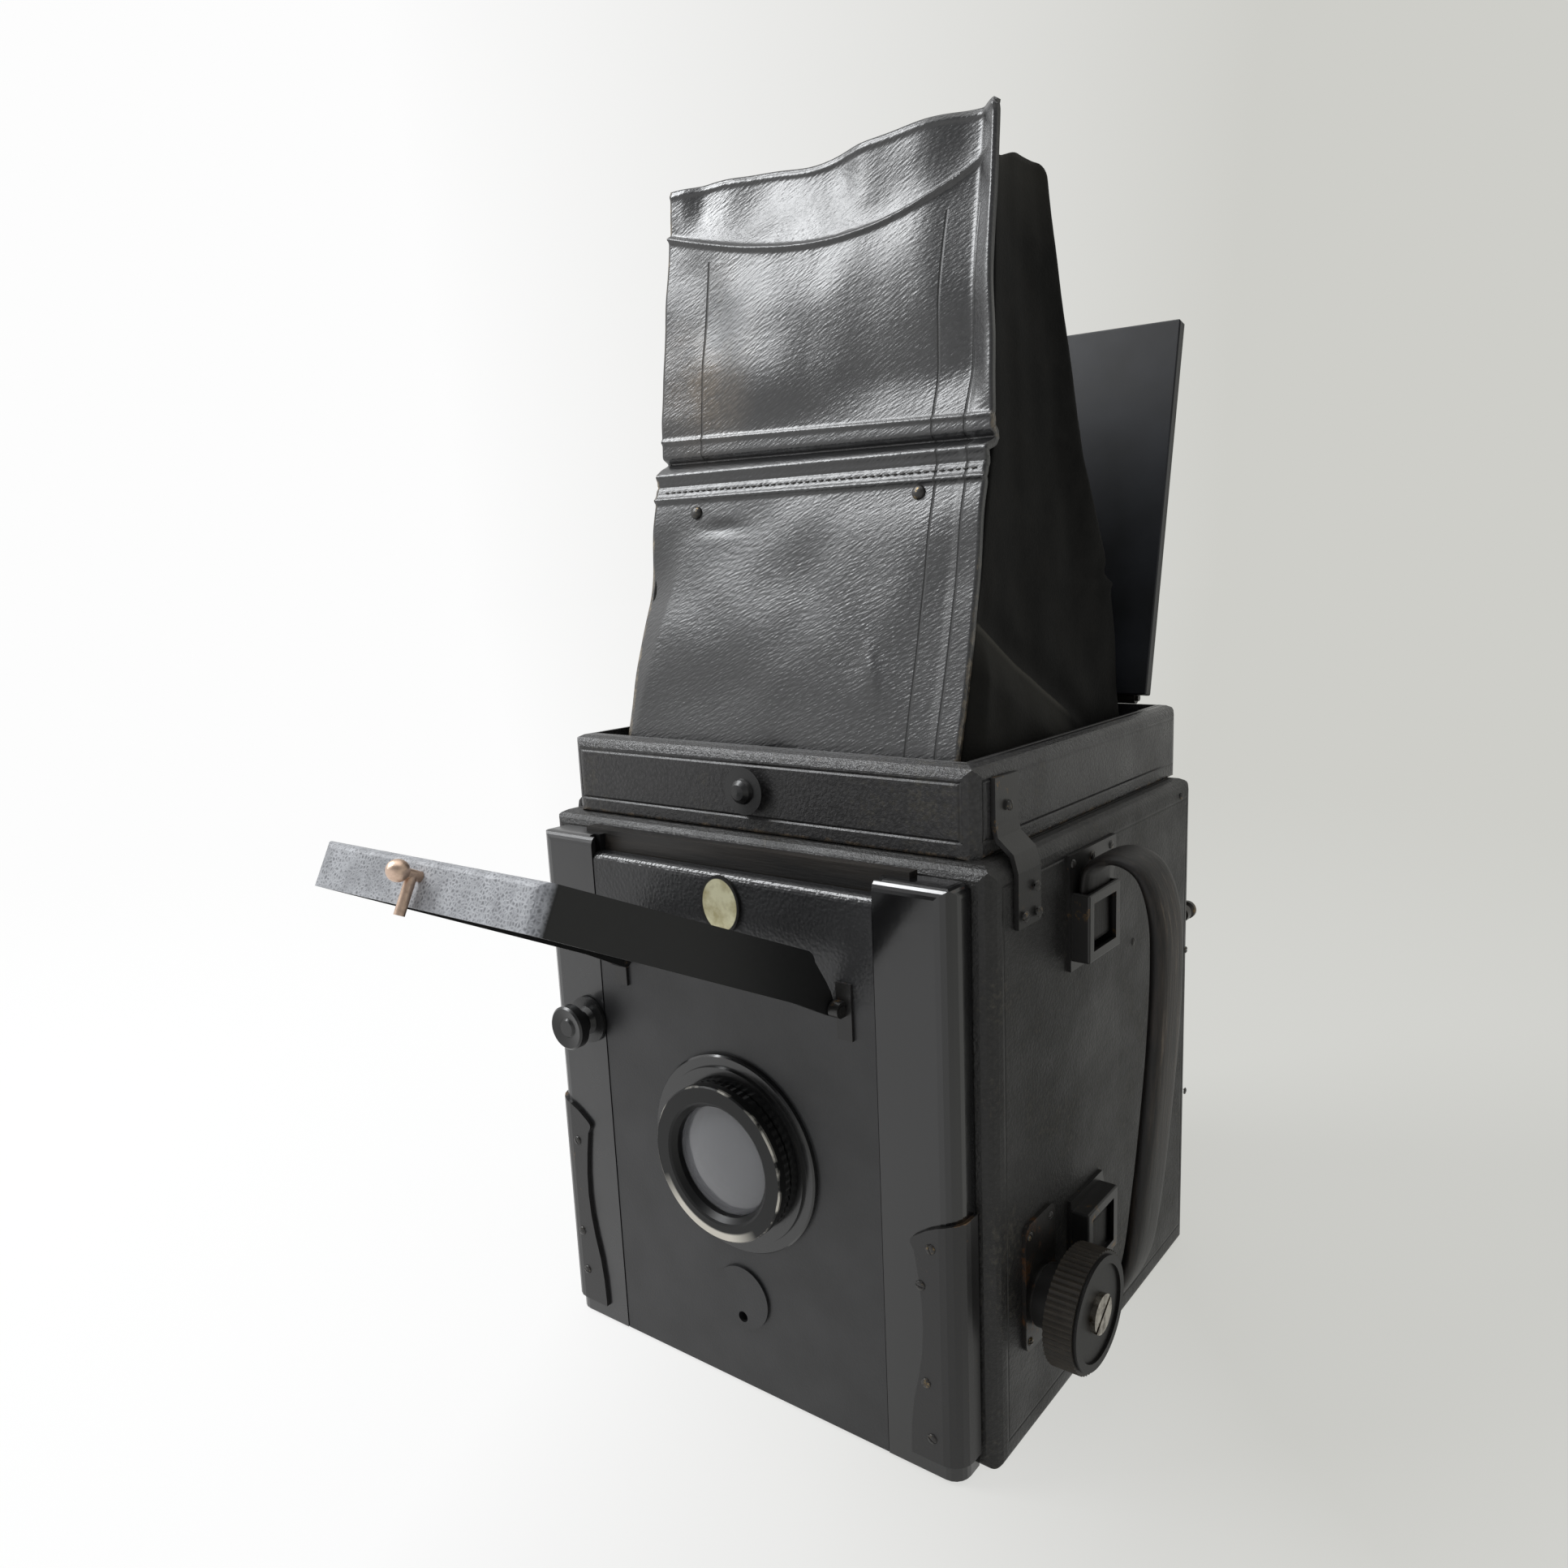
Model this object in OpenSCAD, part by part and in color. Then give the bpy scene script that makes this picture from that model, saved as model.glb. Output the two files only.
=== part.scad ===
// Single-lens reflex plate camera of the 1920s for quarter plates, ready for use: the lid is up,
// the leather viewing hood stands over the ground glass, and the lens door is raised.
// All sizes are millimetres. The origin is the mouth of the tripod bush in the middle of the
// base, +Z is up, the lens looks along -Y, and +X is the side with the focusing knob.

/* [Body] */
// Width of the covered wooden body
body_w = 163; // [156:1:176]
// Depth of the body, front to back
body_d = 142; // [138:1:156]
// Height of the body without the hood box
body_h = 172; // [170:1:182]
// Thickness of the side boards
wall = 8; // [6:0.5:10]
// Thickness of the base board
base_t = 10; // [9:0.5:12]
// Thickness of the top deck
deck_t = 12; // [10:0.5:13]
// Thickness of the bulkhead behind the front standard
bulkhead_t = 11; // [9:0.5:13]
// Rounding of the covered edges
edge_r = 5.5; // [2:0.5:6]
// Rounding of the edges along the base
foot_r = 2; // [0.5:0.5:4]

/* [Front standard] */
// Width of the standard over both rails
std_w = 152; // [146:1:156]
// Height of the rails above the table
std_h = 168; // [162:1:170]
// Thickness of the standard, front to back
std_t = 9.5; // [9:0.5:12]
// Width of a rail
rail_w = 23.7; // [20:0.1:26]
// Gap between the standard and the body when racked home
std_gap = 0.5; // [0.3:0.1:2]
// Height of the standard's bottom edge above the table
std_lift = 1; // [0.5:0.5:3]
// Height of the top of the sliding lens board
board_h = 163; // [158:1:166]
// Thickness of the lens board
board_t = 5; // [4:0.5:5.5]
// Travel of the rising board
rise = 12; // [4:1:14]
// Height of the knob that clamps the rising board
rise_knob_z = 108; // [100:1:120]

/* [Lens] */
// Height of the lens axis
lens_z = 78; // [76:1:86]
// Radius of the mounting flange
flange_r = 30.6; // [28:0.2:34]
// Radius of the front bezel
bezel_r = 23.7; // [22:0.1:25]
// Radius of the barrel
barrel_r = 21; // [19:0.5:21.5]
// Radius of the clear front glass
glass_r = 16.9; // [14:0.1:17.5]
// Reach of the bezel in front of the board
lens_out = 8.7; // [8:0.1:9.5]
// Reach of the barrel behind the board
lens_in = 13; // [11:1:16]

/* [Lens door] */
// Height of the door's hinge
door_hinge_z = 131.6; // [128:0.2:134]
// Distance of the hinge axis in front of the board
door_hinge_out = 2.4; // [2.3:0.1:3]
// Width of the door over its rims
door_w = 79; // [76:1:84]
// Length from the hinge axis to the free edge
door_len = 105; // [101:0.5:106]
// Height of the door's face above the hinge axis at the hinge end
door_high = 12.6; // [12:0.2:15]
// The same height at the free end
door_low = 9.8; // [9.6:0.2:12]
// Wall of the door
door_wall = 1.6; // [1.2:0.1:2]
// Angle of the raised door above level
door_raise = 27; // [10:1:40]

/* [Hood box and lid] */
// Width of the hood box
box_w = 150; // [144:1:154]
// Front face of the hood box, behind the body's front face
box_inset = 4.2; // [3:0.1:8]
// Overhang of the hood box behind the body
box_over = 2.7; // [0:0.1:4]
// Height of the hood box
box_h = 24.5; // [22:0.5:30]
// Thickness of the hood box walls
box_wall = 6; // [5:0.5:8]
// Thickness of the hood box floor ledge
box_floor = 4; // [3:0.5:6]
// Rounding of the hood box edges
box_r = 5; // [2:0.5:5]
// Gap between the shut lid and the box walls around it
lid_gap = 1; // [0.6:0.1:2]
// Thickness of the lid
lid_t = 4.5; // [3.5:0.5:6]
// How far the open lid leans back
lid_lean = 12; // [8:1:20]

/* [Viewing hood] */
// Width of the hood
hood_w = 125; // [116:1:128]
// Thickness of the stiffened front leather
hood_front_t = 2.3; // [1.6:0.1:3]
// Thickness of the soft side and back leather
hood_soft_t = 1.4; // [1:0.1:2]
// Height of the fold above the hood box
hood_fold = 79.5; // [70:0.5:90]
// Height of the front lip above the hood box
hood_top = 167.5; // [150:0.5:180]
// Angle by which the hood's sides lean inwards
hood_taper = 0.9; // [0:0.1:1.5]

/* [Focusing] */
// Travel of the focusing rack
travel = 40; // [20:1:42]
// Height of the pinion shaft
shaft_z = 42; // [41:0.5:46]
// Distance of the pinion shaft behind the body's front face
shaft_in = 25; // [23:0.5:25]
// Radius of the pinion shaft
shaft_r = 3; // [2.5:0.1:3.5]
// Gear module of rack and pinion
gear_m = 0.7; // [0.6:0.05:0.8]
// Number of pinion teeth
gear_n = 18; // [17:1:20]
// Width of a rack bar
rack_w = 6; // [5:0.5:7]
// Radius of the focusing knob
knob_r = 17; // [15:0.1:18.5]
// Thickness of the focusing knob
knob_t = 9.5; // [8:0.5:12]
// Distance of the knob from the body side
knob_off = 9.5; // [8:0.5:12]

/* [Mirror and shutter] */
// Distance of the mirror hinge in front of the body's back
mirror_in = 31; // [30:0.5:34]
// Distance of the mirror hinge below the top deck
mirror_drop = 22; // [20:1:26]
// Width of the mirror frame
mirror_w = 124; // [110:1:128]
// Radius of the mirror's pivots
pivot_r = 2.5; // [2:0.1:3]
// Radius of the shutter rollers
roller_r = 5; // [4:0.5:6]
// Distance of the rollers in front of the body's back
roller_in = 19; // [18:0.5:19.5]
// Distance of the upper roller below the top deck
roller_drop = 12; // [10:1:14]
// Distance of the lower roller above the base board
roller_lift = 14; // [12:1:16]
// Width of the picture
frame_w = 104; // [90:1:106]
// Height of the picture
frame_h = 80; // [70:1:82]

/* [Back] */
// Thickness of the back frame
back_t = 10; // [8:0.5:11]
// Side of the square reversing back
rev_side = 128; // [124:1:132]
// Thickness of the reversing back's plate
rev_t = 5; // [4:0.5:6]
// Width of the plate holder, along the slide
holder_w = 124; // [116:1:126]
// Height of the plate holder
holder_h = 96; // [90:1:98]
// Thickness of the plate holder
holder_t = 9.2; // [8.8:0.2:11]

/* [Side fittings] */
// Width of the strap
strap_w = 18; // [14:1:19]
// Thickness of the strap
strap_t = 3.6; // [2.5:0.1:4]
// Distance of the strap's middle behind the body's front face
strap_in = 54.5; // [54.5:0.5:60]
// Height of the strap's upper keeper
keeper_z = 135; // [130:1:144]
// Height of the strap's lower keeper
loop_z = 58; // [46:1:60]
// Distance of the handle's middle from the body side
strap_reach = 24.4; // [20:0.2:26]
// Rise of the handle above its upper keeper
strap_arch = 30; // [24:1:32]
// Thickness of the sheet metal fittings
sheet_t = 1.2; // [0.8:0.1:1.6]

/* [Fits] */
// Gap between neighbouring pieces
gap = 0.3; // [0.2:0.05:0.4]
// Radial running clearance of a pin in its bore
run = 0.05; // [0.02:0.01:0.08]
// Radius of the tripod screw, three-eighths Whitworth
bush_r = 4.7625; // [3.175, 4.7625]

/* [Hidden] */
$fn = 48;

// body planes
side_x = body_w / 2;
inner_x = side_x - wall;
front_y = -body_d / 2;
back_y = body_d / 2;
deck_z = body_h - deck_t;
bay_front = front_y + bulkhead_t;
// front standard planes
std_y1 = front_y - std_gap;
std_y0 = std_y1 - std_t;
rail_x = std_w / 2 - rail_w;
plate_t = 3.7;
plate_x = rail_x + 8;
plate_y = std_y1 - plate_t;
board_y0 = std_y0 + 0.2;
board_y1 = board_y0 + board_t;
board_x = rail_x - gap;
tongue_t = 1.6;
tongue_w = 2.2;
rail_r = 5;
knob_in = 6.7;
bellows_x = plate_x - 3;
bellows_z0 = base_t + 5;
bellows_z1 = deck_z - 12;
bellows_ledge = 3;
bellows_pleats = 5;
// lens planes, as distances in front of the board
flange_t = 1.8;
collar_t = 2.8;
ring_y0 = board_y0 - collar_t - gap;
bezel_t = 2.9;
// lens door
door_y = board_y0 - door_hinge_out;
door_rim = -1.2;
door_start = 9;
door_corner = 3.5;
door_pin_r = 1.2;
latch_n = 5.6;
latch_r = 1.2;
hook_s = door_len + 2.1;
catch_hole_z = door_hinge_z - hook_s;
ear_x = door_w / 2 + 0.6;
ear_w = 3;
// hood box and lid
box_y0 = front_y + box_inset;
box_y1 = back_y + box_over;
box_z1 = body_h + box_h;
box_in_y0 = box_y0 + box_wall;
box_in_y1 = box_y1 - box_wall;
lid_y = box_in_y1 - gap;
lid_z = box_z1 + 2.2;
lid_w = box_w - 2 * box_wall - 2 * lid_gap;
lid_len = lid_y - box_in_y0 - 0.6;
knuckle_r = 2;
hinge_pin_r = 1.1;
leaf_t = 1;
leaf_half = 8;
leaf_step = 18;
button_z = body_h + 12.5;
tongue_low = button_z + 2.2;
// focusing
shaft_y = front_y + shaft_in;
pitch_r = gear_m * gear_n / 2;
rack_pitch = PI * gear_m;
rack_z = shaft_z - pitch_r;
rack_x = inner_x - 8.5;
rack_low = rack_z - 7.7;
guide_low = rack_low - gap - 3.7;
rack_back = shaft_y + travel + 14;
// mirror and shutter
mirror_y = back_y - mirror_in;
mirror_z = deck_z - mirror_drop;
mirror_len = mirror_y - bay_front - 2;
mirror_t = 4;
roller_y = back_y - roller_in;
roller_high = deck_z - roller_drop;
roller_low = base_t + roller_lift;
blind_t = 0.4;
blind_y = roller_y + roller_r + gap;
screen_z = deck_z + 2;
screen_t = 2;
screen_x = frame_w / 2 + 4;
screen_y0 = bay_front + 2;
screen_y1 = mirror_y + 4;
// back
web_y = back_y - back_t;
rev_y = back_y + gap;
holder_y = rev_y + rev_t + gap;
rev_edge = 5;
rev_edge_t = rev_t - 2.2;
arm_y = rev_y + rev_edge_t + gap;
arm_t = 1.4;
slide_t = 1;
slide_lip = 1.3;
slot_h = frame_h + 6;
catch_z = 122;
catch_x = side_x - 4;
catch_r = 3;
// left side
plate_x1 = -side_x - sheet_t;
lever_y = front_y + 33;
lever_z = body_h - 31;

// 2D helpers

// points of an arc about [cx, cy], from angle a0 to a1
function arc(cx, cy, r, a0, a1, n = 5) =
    [for (i = [0:n]) let (a = a0 + (a1 - a0) * i / n) [cx + r * cos(a), cy + r * sin(a)]];

// a rectangle with rounded corners, whose lower and upper pairs may differ
function soft_outline(x0, y0, x1, y1, low, high) = concat(
    arc(x1 - low, y0 + low, low, -90, 0),
    arc(x1 - high, y1 - high, high, 0, 90),
    arc(x0 + high, y1 - high, high, 90, 180),
    arc(x0 + low, y0 + low, low, 180, 270));

// the outline of a strip of thickness t that follows a path
function unit(v) = v / norm(v);
function path_normal(p, i) =
    let (a = p[max(i - 1, 0)], b = p[min(i + 1, len(p) - 1)], d = unit(b - a)) [-d.y, d.x];
function strip(p, t) = concat(
    [for (i = [0:len(p) - 1]) p[i] + path_normal(p, i) * t / 2],
    [for (i = [len(p) - 1:-1:0]) p[i] - path_normal(p, i) * t / 2]);

// 3D helpers

// a 2D shape drawn in [y, z], carried along X from x0 to x1
module along_x(x0, x1) translate([x0, 0, 0]) rotate([90, 0, 90]) linear_extrude(x1 - x0) children();
// a 2D shape drawn in [x, z], carried along Y from y0 to y1
module along_y(y0, y1) translate([0, y1, 0]) rotate([90, 0, 0]) linear_extrude(y1 - y0) children();
// a 2D shape drawn in [x, y], carried along Z from z0 to z1
module along_z(z0, z1) translate([0, 0, z0]) linear_extrude(z1 - z0) children();
// a block between two corners
module block(low, high) translate(low) cube(high - low);
// round bars along each axis
module rod_x(x0, x1, y, z, r) translate([x0, y, z]) rotate([0, 90, 0]) cylinder(h = x1 - x0, r = r);
module rod_y(y0, y1, x, z, r) translate([x, y1, z]) rotate([90, 0, 0]) cylinder(h = y1 - y0, r = r);
module rod_z(z0, z1, x, y, r) translate([x, y, z0]) cylinder(h = z1 - z0, r = r);
// a profile of [radius, distance towards +Y], turned about the Y direction through [x, z]
module turned_y(x, z, profile) translate([x, 0, z]) rotate([-90, 0, 0]) rotate_extrude() polygon(profile);
// both hands of a piece drawn on the +X side
module pair() { children(); mirror([1, 0, 0]) children(); }

// a block with rounded edges: three rounded bars crossed
module soft_block(low, high, side_r, low_r, high_r) {
    intersection() {
        along_z(low.z, high.z) polygon(soft_outline(low.x, low.y, high.x, high.y, side_r, side_r));
        along_y(low.y, high.y) polygon(soft_outline(low.x, low.z, high.x, high.z, low_r, high_r));
        along_x(low.x, high.x) polygon(soft_outline(low.y, low.z, high.y, high.z, low_r, high_r));
    }
}

// a knurled disc from x0 to x1 about the X direction
module knurled_x(x0, x1, y, z, r, ridges) {
    translate([x0, y, z]) rotate([90, 0, 90]) linear_extrude(x1 - x0)
        polygon([for (i = [0:2 * ridges - 1])
            let (a = 180 * i / ridges, q = r - (i % 2) * 0.5) [q * cos(a), q * sin(a)]]);
}

// body: boards, deck, bulkhead and back frame

module body_outer() {
    soft_block([-side_x, front_y, 0], [side_x, back_y, body_h], edge_r, foot_r, edge_r);
}

// a side board with the bores that carry the shafts; hand is 1 for the right one and -1 for the left
module side_board(hand) {
    difference() {
        intersection() {
            body_outer();
            block([hand > 0 ? inner_x : -side_x, front_y, 0], [hand > 0 ? side_x : -inner_x, back_y, body_h]);
        }
        // the mirror's pivots and the roller pins run in blind bores
        rod_x(hand > 0 ? inner_x - 1 : -inner_x - 4.5, hand > 0 ? inner_x + 4.5 : -inner_x + 1,
            mirror_y, mirror_z, pivot_r + run);
        for (z = [roller_low, roller_high])
            rod_x(hand > 0 ? inner_x - 1 : -inner_x - 3.2, hand > 0 ? inner_x + 3.2 : -inner_x + 1,
                roller_y, z, 2 + run);
        if (hand > 0) {
            rod_x(inner_x - 1, side_x + 1, shaft_y, shaft_z, shaft_r + run);
            rod_y(back_y - 5, back_y + 1, catch_x, catch_z, 1.5 + run);
        } else {
            rod_x(-inner_x - 4.5, -inner_x + 1, shaft_y, shaft_z, shaft_r + run);
            rod_x(-side_x - 1, -inner_x + 1, roller_y, roller_high, 2 + run);
            rod_x(-side_x - 1, -inner_x - 4, roller_y, roller_low, 2 + run);
            rod_x(-side_x - 1, -inner_x - 4, lever_y, lever_z, 2 + run);
        }
    }
}
module side_board_left() { color("#1d1c1b") side_board(-1); }
module side_board_right() { color("#1d1c1b") side_board(1); }

module base_board() {
    color("#1f1d1b") difference() {
        intersection() {
            body_outer();
            block([-inner_x, front_y, 0], [inner_x, back_y, base_t]);
        }
        rod_z(-1, base_t - 1, 0, 0, bush_r + 2.8);
        rod_z(-1, 1.5, 0, 0, bush_r + 7.3);
    }
}

module tripod_bush() {
    color("#b08d4a") difference() {
        union() {
            rod_z(0, base_t - 1 - gap, 0, 0, bush_r + 2.7);
            rod_z(0, 1.5, 0, 0, bush_r + 7.2);
        }
        rod_z(-1, base_t, 0, 0, bush_r);
    }
}

// the deck has a light window and a rabbet that holds the screen
module top_deck() {
    color("#1d1c1b") difference() {
        intersection() {
            body_outer();
            block([-inner_x, front_y, deck_z], [inner_x, back_y, body_h]);
        }
        block([-frame_w / 2, screen_y0 + 4, deck_z - 1], [frame_w / 2, screen_y1 - 4, body_h + 1]);
        block([-screen_x - gap, screen_y0 - gap, screen_z], [screen_x + gap, screen_y1 + gap, body_h + 1]);
    }
}

module ground_glass() {
    color([0.86, 0.9, 0.88, 0.5])
        block([-screen_x, screen_y0, screen_z], [screen_x, screen_y1, screen_z + screen_t]);
}

module screen_frame() {
    color("#26231f") difference() {
        block([-screen_x, screen_y0, screen_z + screen_t], [screen_x, screen_y1, body_h - 3]);
        block([-screen_x + 6, screen_y0 + 6, screen_z], [screen_x - 6, screen_y1 - 6, body_h]);
    }
}

// the bulkhead has a window with a ledge for the bellows and two slots for the racks
module front_bulkhead() {
    color("#1b1a19") difference() {
        block([-inner_x, front_y, base_t], [inner_x, bay_front, deck_z]);
        block([-bellows_x - 0.6, front_y - 1, bellows_z0 - 0.6],
            [bellows_x + 0.6, bay_front - bellows_ledge, bellows_z1 + 0.6]);
        block([-bellows_x + 5, front_y, bellows_z0 + 5], [bellows_x - 5, bay_front + 1, bellows_z1 - 5]);
        pair() block([rack_x - rack_w / 2 - 0.6, front_y - 1, rack_low - 0.6],
            [rack_x + rack_w / 2 + 0.6, bay_front + 1, rack_z + gear_m + 0.6]);
    }
}

module back_frame() {
    color("#1b1a19") difference() {
        block([-inner_x, web_y, base_t], [inner_x, back_y, deck_z]);
        block([-frame_w / 2, web_y - 1, lens_z - frame_h / 2], [frame_w / 2, back_y + 1, lens_z + frame_h / 2]);
    }
}

// hood box, leather hood and lid

module hood_box() {
    color("#1f1e1d") difference() {
        soft_block([-box_w / 2, box_y0, body_h], [box_w / 2, box_y1, box_z1], box_r + 1, 1, box_r);
        block([-box_w / 2 + box_wall, box_in_y0, body_h + box_floor],
            [box_w / 2 - box_wall, box_in_y1, box_z1 + 1]);
        block([-screen_x + 3, screen_y0 + 3, body_h - 1], [screen_x - 3, screen_y1 - 3, box_z1]);
        // the button's bore
        rod_y(box_y0 - 1, box_in_y0 + 1, 0, button_z, 1.6 + run);
    }
}

// side view of the hood: the front leather and the back leather, as [y, z]
hood_foot = body_h + box_floor + 0.2;
hood_fold_z = box_z1 + hood_fold;
hood_top_z = box_z1 + hood_top;
hood_mouth_z = hood_top_z - 13;
front_line = [[box_y0 + box_wall + 3.8, hood_foot], [box_y0 + 14.3, box_z1 + 0.5],
    [box_y0 + 34.8, hood_fold_z], [box_y0 + 47.8, hood_top_z]];
back_line = [[box_y1 - box_wall - 7.7, hood_foot], [box_y1 - 16.7, box_z1 + 1.5],
    [box_y1 - 22.7, box_z1 + 41.5], [box_y1 - 42.2, hood_fold_z + 1], [box_y1 - 57, hood_mouth_z + 6]];
function shifted(line, dy) = [for (p = line) [p.x + dy, p.y]];
function reversed(line) = [for (i = [len(line) - 1:-1:0]) line[i]];

// the hood's outline seen from the front, narrower towards the top
module hood_taper_cut(in) {
    x = hood_w / 2 - in;
    top = x - tan(hood_taper) * hood_top;
    along_y(box_y0, box_y1)
        polygon([[-x, hood_foot], [x, hood_foot], [x, box_z1], [top, hood_top_z], [-top, hood_top_z], [-x, box_z1]]);
}

module hood_front() {
    color("#2a2928") intersection() {
        along_x(-hood_w / 2, hood_w / 2) polygon(concat(front_line, reversed(shifted(front_line, hood_front_t))));
        hood_taper_cut(0);
    }
}

module hood_sides() {
    lip = front_line[3] + [hood_front_t, 0] + (front_line[2] - front_line[3]) * 0.17;
    color("#262524") pair() translate([hood_w / 2 - 1, 0, box_z1]) rotate([0, -hood_taper, 0])
        translate([0, 0, -box_z1]) along_x(-hood_soft_t, 0)
            polygon(concat(shifted([for (i = [0:2]) front_line[i]], hood_front_t), [lip],
                reversed(shifted(back_line, -hood_soft_t))));
}

module hood_back() {
    color("#262524") intersection() {
        along_x(-hood_w / 2, hood_w / 2) polygon(concat(back_line, reversed(shifted(back_line, -hood_soft_t))));
        hood_taper_cut(1);
    }
}

// a lid fitting drawn shut, with the hinge axis on X and the lid along -Y, then swung open
module as_open_lid() translate([0, lid_y, lid_z]) rotate([-90 - lid_lean, 0, 0]) children();

// the lid fills the box's mouth and its top lies level with the rim
module lid_board() {
    top = box_z1 - lid_z;
    tongue_y = box_in_y0 + 1 - lid_y;
    color("#181818") as_open_lid() union() {
        soft_block([-lid_w / 2, -lid_len, top - lid_t], [lid_w / 2, -0.6, top], 1, 0.5, 0.8);
        // the tongue that the button's catch holds
        block([-4.5, tongue_y, tongue_low - lid_z], [4.5, tongue_y + 0.8, top - lid_t + 0.5]);
    }
}

// hinge leaves screwed to the lid, with bored knuckles
module lid_hinge_straps() {
    top = box_z1 - lid_z;
    color("#8d7a52") as_open_lid() for (i = [-3, -1, 1, 3]) let (x = i * leaf_step) difference() {
        union() {
            rod_x(x - leaf_half, x + leaf_half, 0, 0, knuckle_r);
            block([x - leaf_half, -10, top], [x + leaf_half, -0.5, top + leaf_t]);
        }
        rod_x(x - leaf_half - 1, x + leaf_half + 1, 0, 0, hinge_pin_r + run);
    }
}

// hinge leaves screwed to the box's rear wall, with the pin fast in their knuckles
module lid_hinge_leaves() {
    color("#8d7a52") union() {
        rod_x(-3.5 * leaf_step, 3.5 * leaf_step, lid_y, lid_z, hinge_pin_r);
        for (i = [-2, 0, 2]) let (x = i * leaf_step) {
            rod_x(x - leaf_half, x + leaf_half, lid_y, lid_z, knuckle_r);
            block([x - leaf_half, lid_y + 0.5, box_z1], [x + leaf_half, box_y1 - box_r, box_z1 + leaf_t]);
        }
    }
}

module lid_button() {
    catch_y = box_in_y0 + 2.1;
    color("#1a1a1a") union() {
        turned_y(0, button_z, [[0, box_y0 - 5.2], [2.2, box_y0 - 4.9], [3.4, box_y0 - 3.8], [3.8, box_y0 - 2.6],
            [6.9, box_y0 - 2.4], [6.9, box_y0 - 2.1], [1.6, box_y0 - 2.1], [1.6, catch_y + 0.5], [0, catch_y + 0.5]]);
        // the catch behind the wall
        block([-4, catch_y, button_z - 2.5], [4, catch_y + 1, tongue_low + 2.5]);
    }
}

// bent spring clips that hold the hood box down, one a side
module box_clips() {
    clip_x = side_x + 0.8;
    on_box = box_w / 2 + 0.8;
    color("#242321") pair() along_y(front_y + 12, front_y + 24.5)
        polygon(strip([[clip_x, body_h - 19], [clip_x, body_h - 4], [clip_x - 1.2, body_h + 0.5],
            [on_box + 0.8, body_h + 4.5], [on_box, body_h + 8], [on_box, body_h + 20.5]], 1.4));
}

// handle: a strap that curls round at both ends, each held by a keeper with a window

// one end of the strap's middle line, from its keeper to the grip, as shares of reach and arch
strap_y = front_y + strap_in;
strap_seat = sheet_t + gap + strap_t / 2;
keeper_out = strap_seat + strap_t / 2 + gap + 1.2;
keeper_h = 20;
curl = [[0, 0.15], [0, 0.73], [0.04, 0.84], [0.13, 0.94], [0.28, 0.99], [0.45, 1], [0.63, 0.96],
    [0.8, 0.87], [0.92, 0.7], [0.98, 0.45], [1, 0.1]];
function curl_x(u) = side_x + strap_seat + u * (strap_reach - strap_seat);
strap_path = concat([for (q = curl) [curl_x(q.x), keeper_z + q.y * strap_arch]],
    [for (i = [len(curl) - 1:-1:0]) [curl_x(curl[i].x), loop_z - curl[i].y * strap_arch]]);

module handle_strap() {
    color("#2b231d") along_y(strap_y - strap_w / 2, strap_y + strap_w / 2) polygon(strip(strap_path, strap_t));
}

// a keeper drawn with its foot at z = 0: a plate on the side and a box that the strap's end
// goes down into, with a window in its front
module keeper() {
    y0 = strap_y - strap_w / 2 - 1.6;
    y1 = strap_y + strap_w / 2 + 1.6;
    color("#2a2723") difference() {
        union() {
            along_x(side_x, side_x + sheet_t)
                polygon([[y0 - 0.5, -3], [y1 + 0.5, -3], [y1 + 9, 24], [y1 + 9, 31], [y0 - 1.5, 31]]);
            soft_block([side_x, y0, 0], [side_x + keeper_out, y1, keeper_h], 0.6, 0.6, 0.6);
        }
        block([side_x + strap_seat - strap_t / 2 - gap, y0 + 1.3, 1.4],
            [side_x + strap_seat + strap_t / 2 + gap, y1 - 1.3, keeper_h + 1]);
        block([side_x + strap_seat, y0 + 3, 3], [side_x + keeper_out + 1, y1 - 3, keeper_h - 3]);
    }
}
module upper_keeper() translate([0, 0, keeper_z]) keeper();
module lower_keeper() translate([0, 0, loop_z]) mirror([0, 0, 1]) keeper();

// focusing: knob, shaft with pinions, racks and guides

// an involute tooth's outline on the pinion, pointing along +Y, with some backlash
base_r = pitch_r * cos(20);
tip_r = pitch_r + 0.9 * gear_m;
root_r = pitch_r - 1.2 * gear_m;
backlash = 0.12;
function roll_angle(r) = r <= base_r ? 0 :
    let (t = sqrt(pow(r / base_r, 2) - 1)) t * 180 / PI - atan(t);
tooth_half = 90 / gear_n - backlash / 2 / pitch_r * 180 / PI + roll_angle(pitch_r);
flank = [root_r, base_r, base_r + (tip_r - base_r) * 0.35, base_r + (tip_r - base_r) * 0.7, tip_r];
function tooth(a) = concat(
    [for (r = flank) let (b = a - tooth_half + roll_angle(r)) [r * cos(b), r * sin(b)]],
    [for (i = [len(flank) - 1:-1:0]) let (r = flank[i], b = a + tooth_half - roll_angle(r)) [r * cos(b), r * sin(b)]]);
module pinion() polygon([for (i = [0:gear_n - 1]) each tooth(-90 + 360 * i / gear_n)]);

module focus_shaft() {
    end_x = side_x + knob_off + knob_t - 0.8;
    color("#a99f8c") union() {
        rod_x(-inner_x - 4, end_x, shaft_y, shaft_z, shaft_r);
        pair() along_x(rack_x - rack_w / 2, rack_x + rack_w / 2) translate([shaft_y, shaft_z]) pinion();
        // the slotted screw that holds the knob
        difference() {
            rod_x(end_x, end_x + 1.6, shaft_y, shaft_z, 5.6);
            translate([end_x + 1.6, shaft_y, shaft_z]) rotate([35, 0, 0]) cube([1.6, 12, 1.2], center = true);
        }
    }
}

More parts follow.
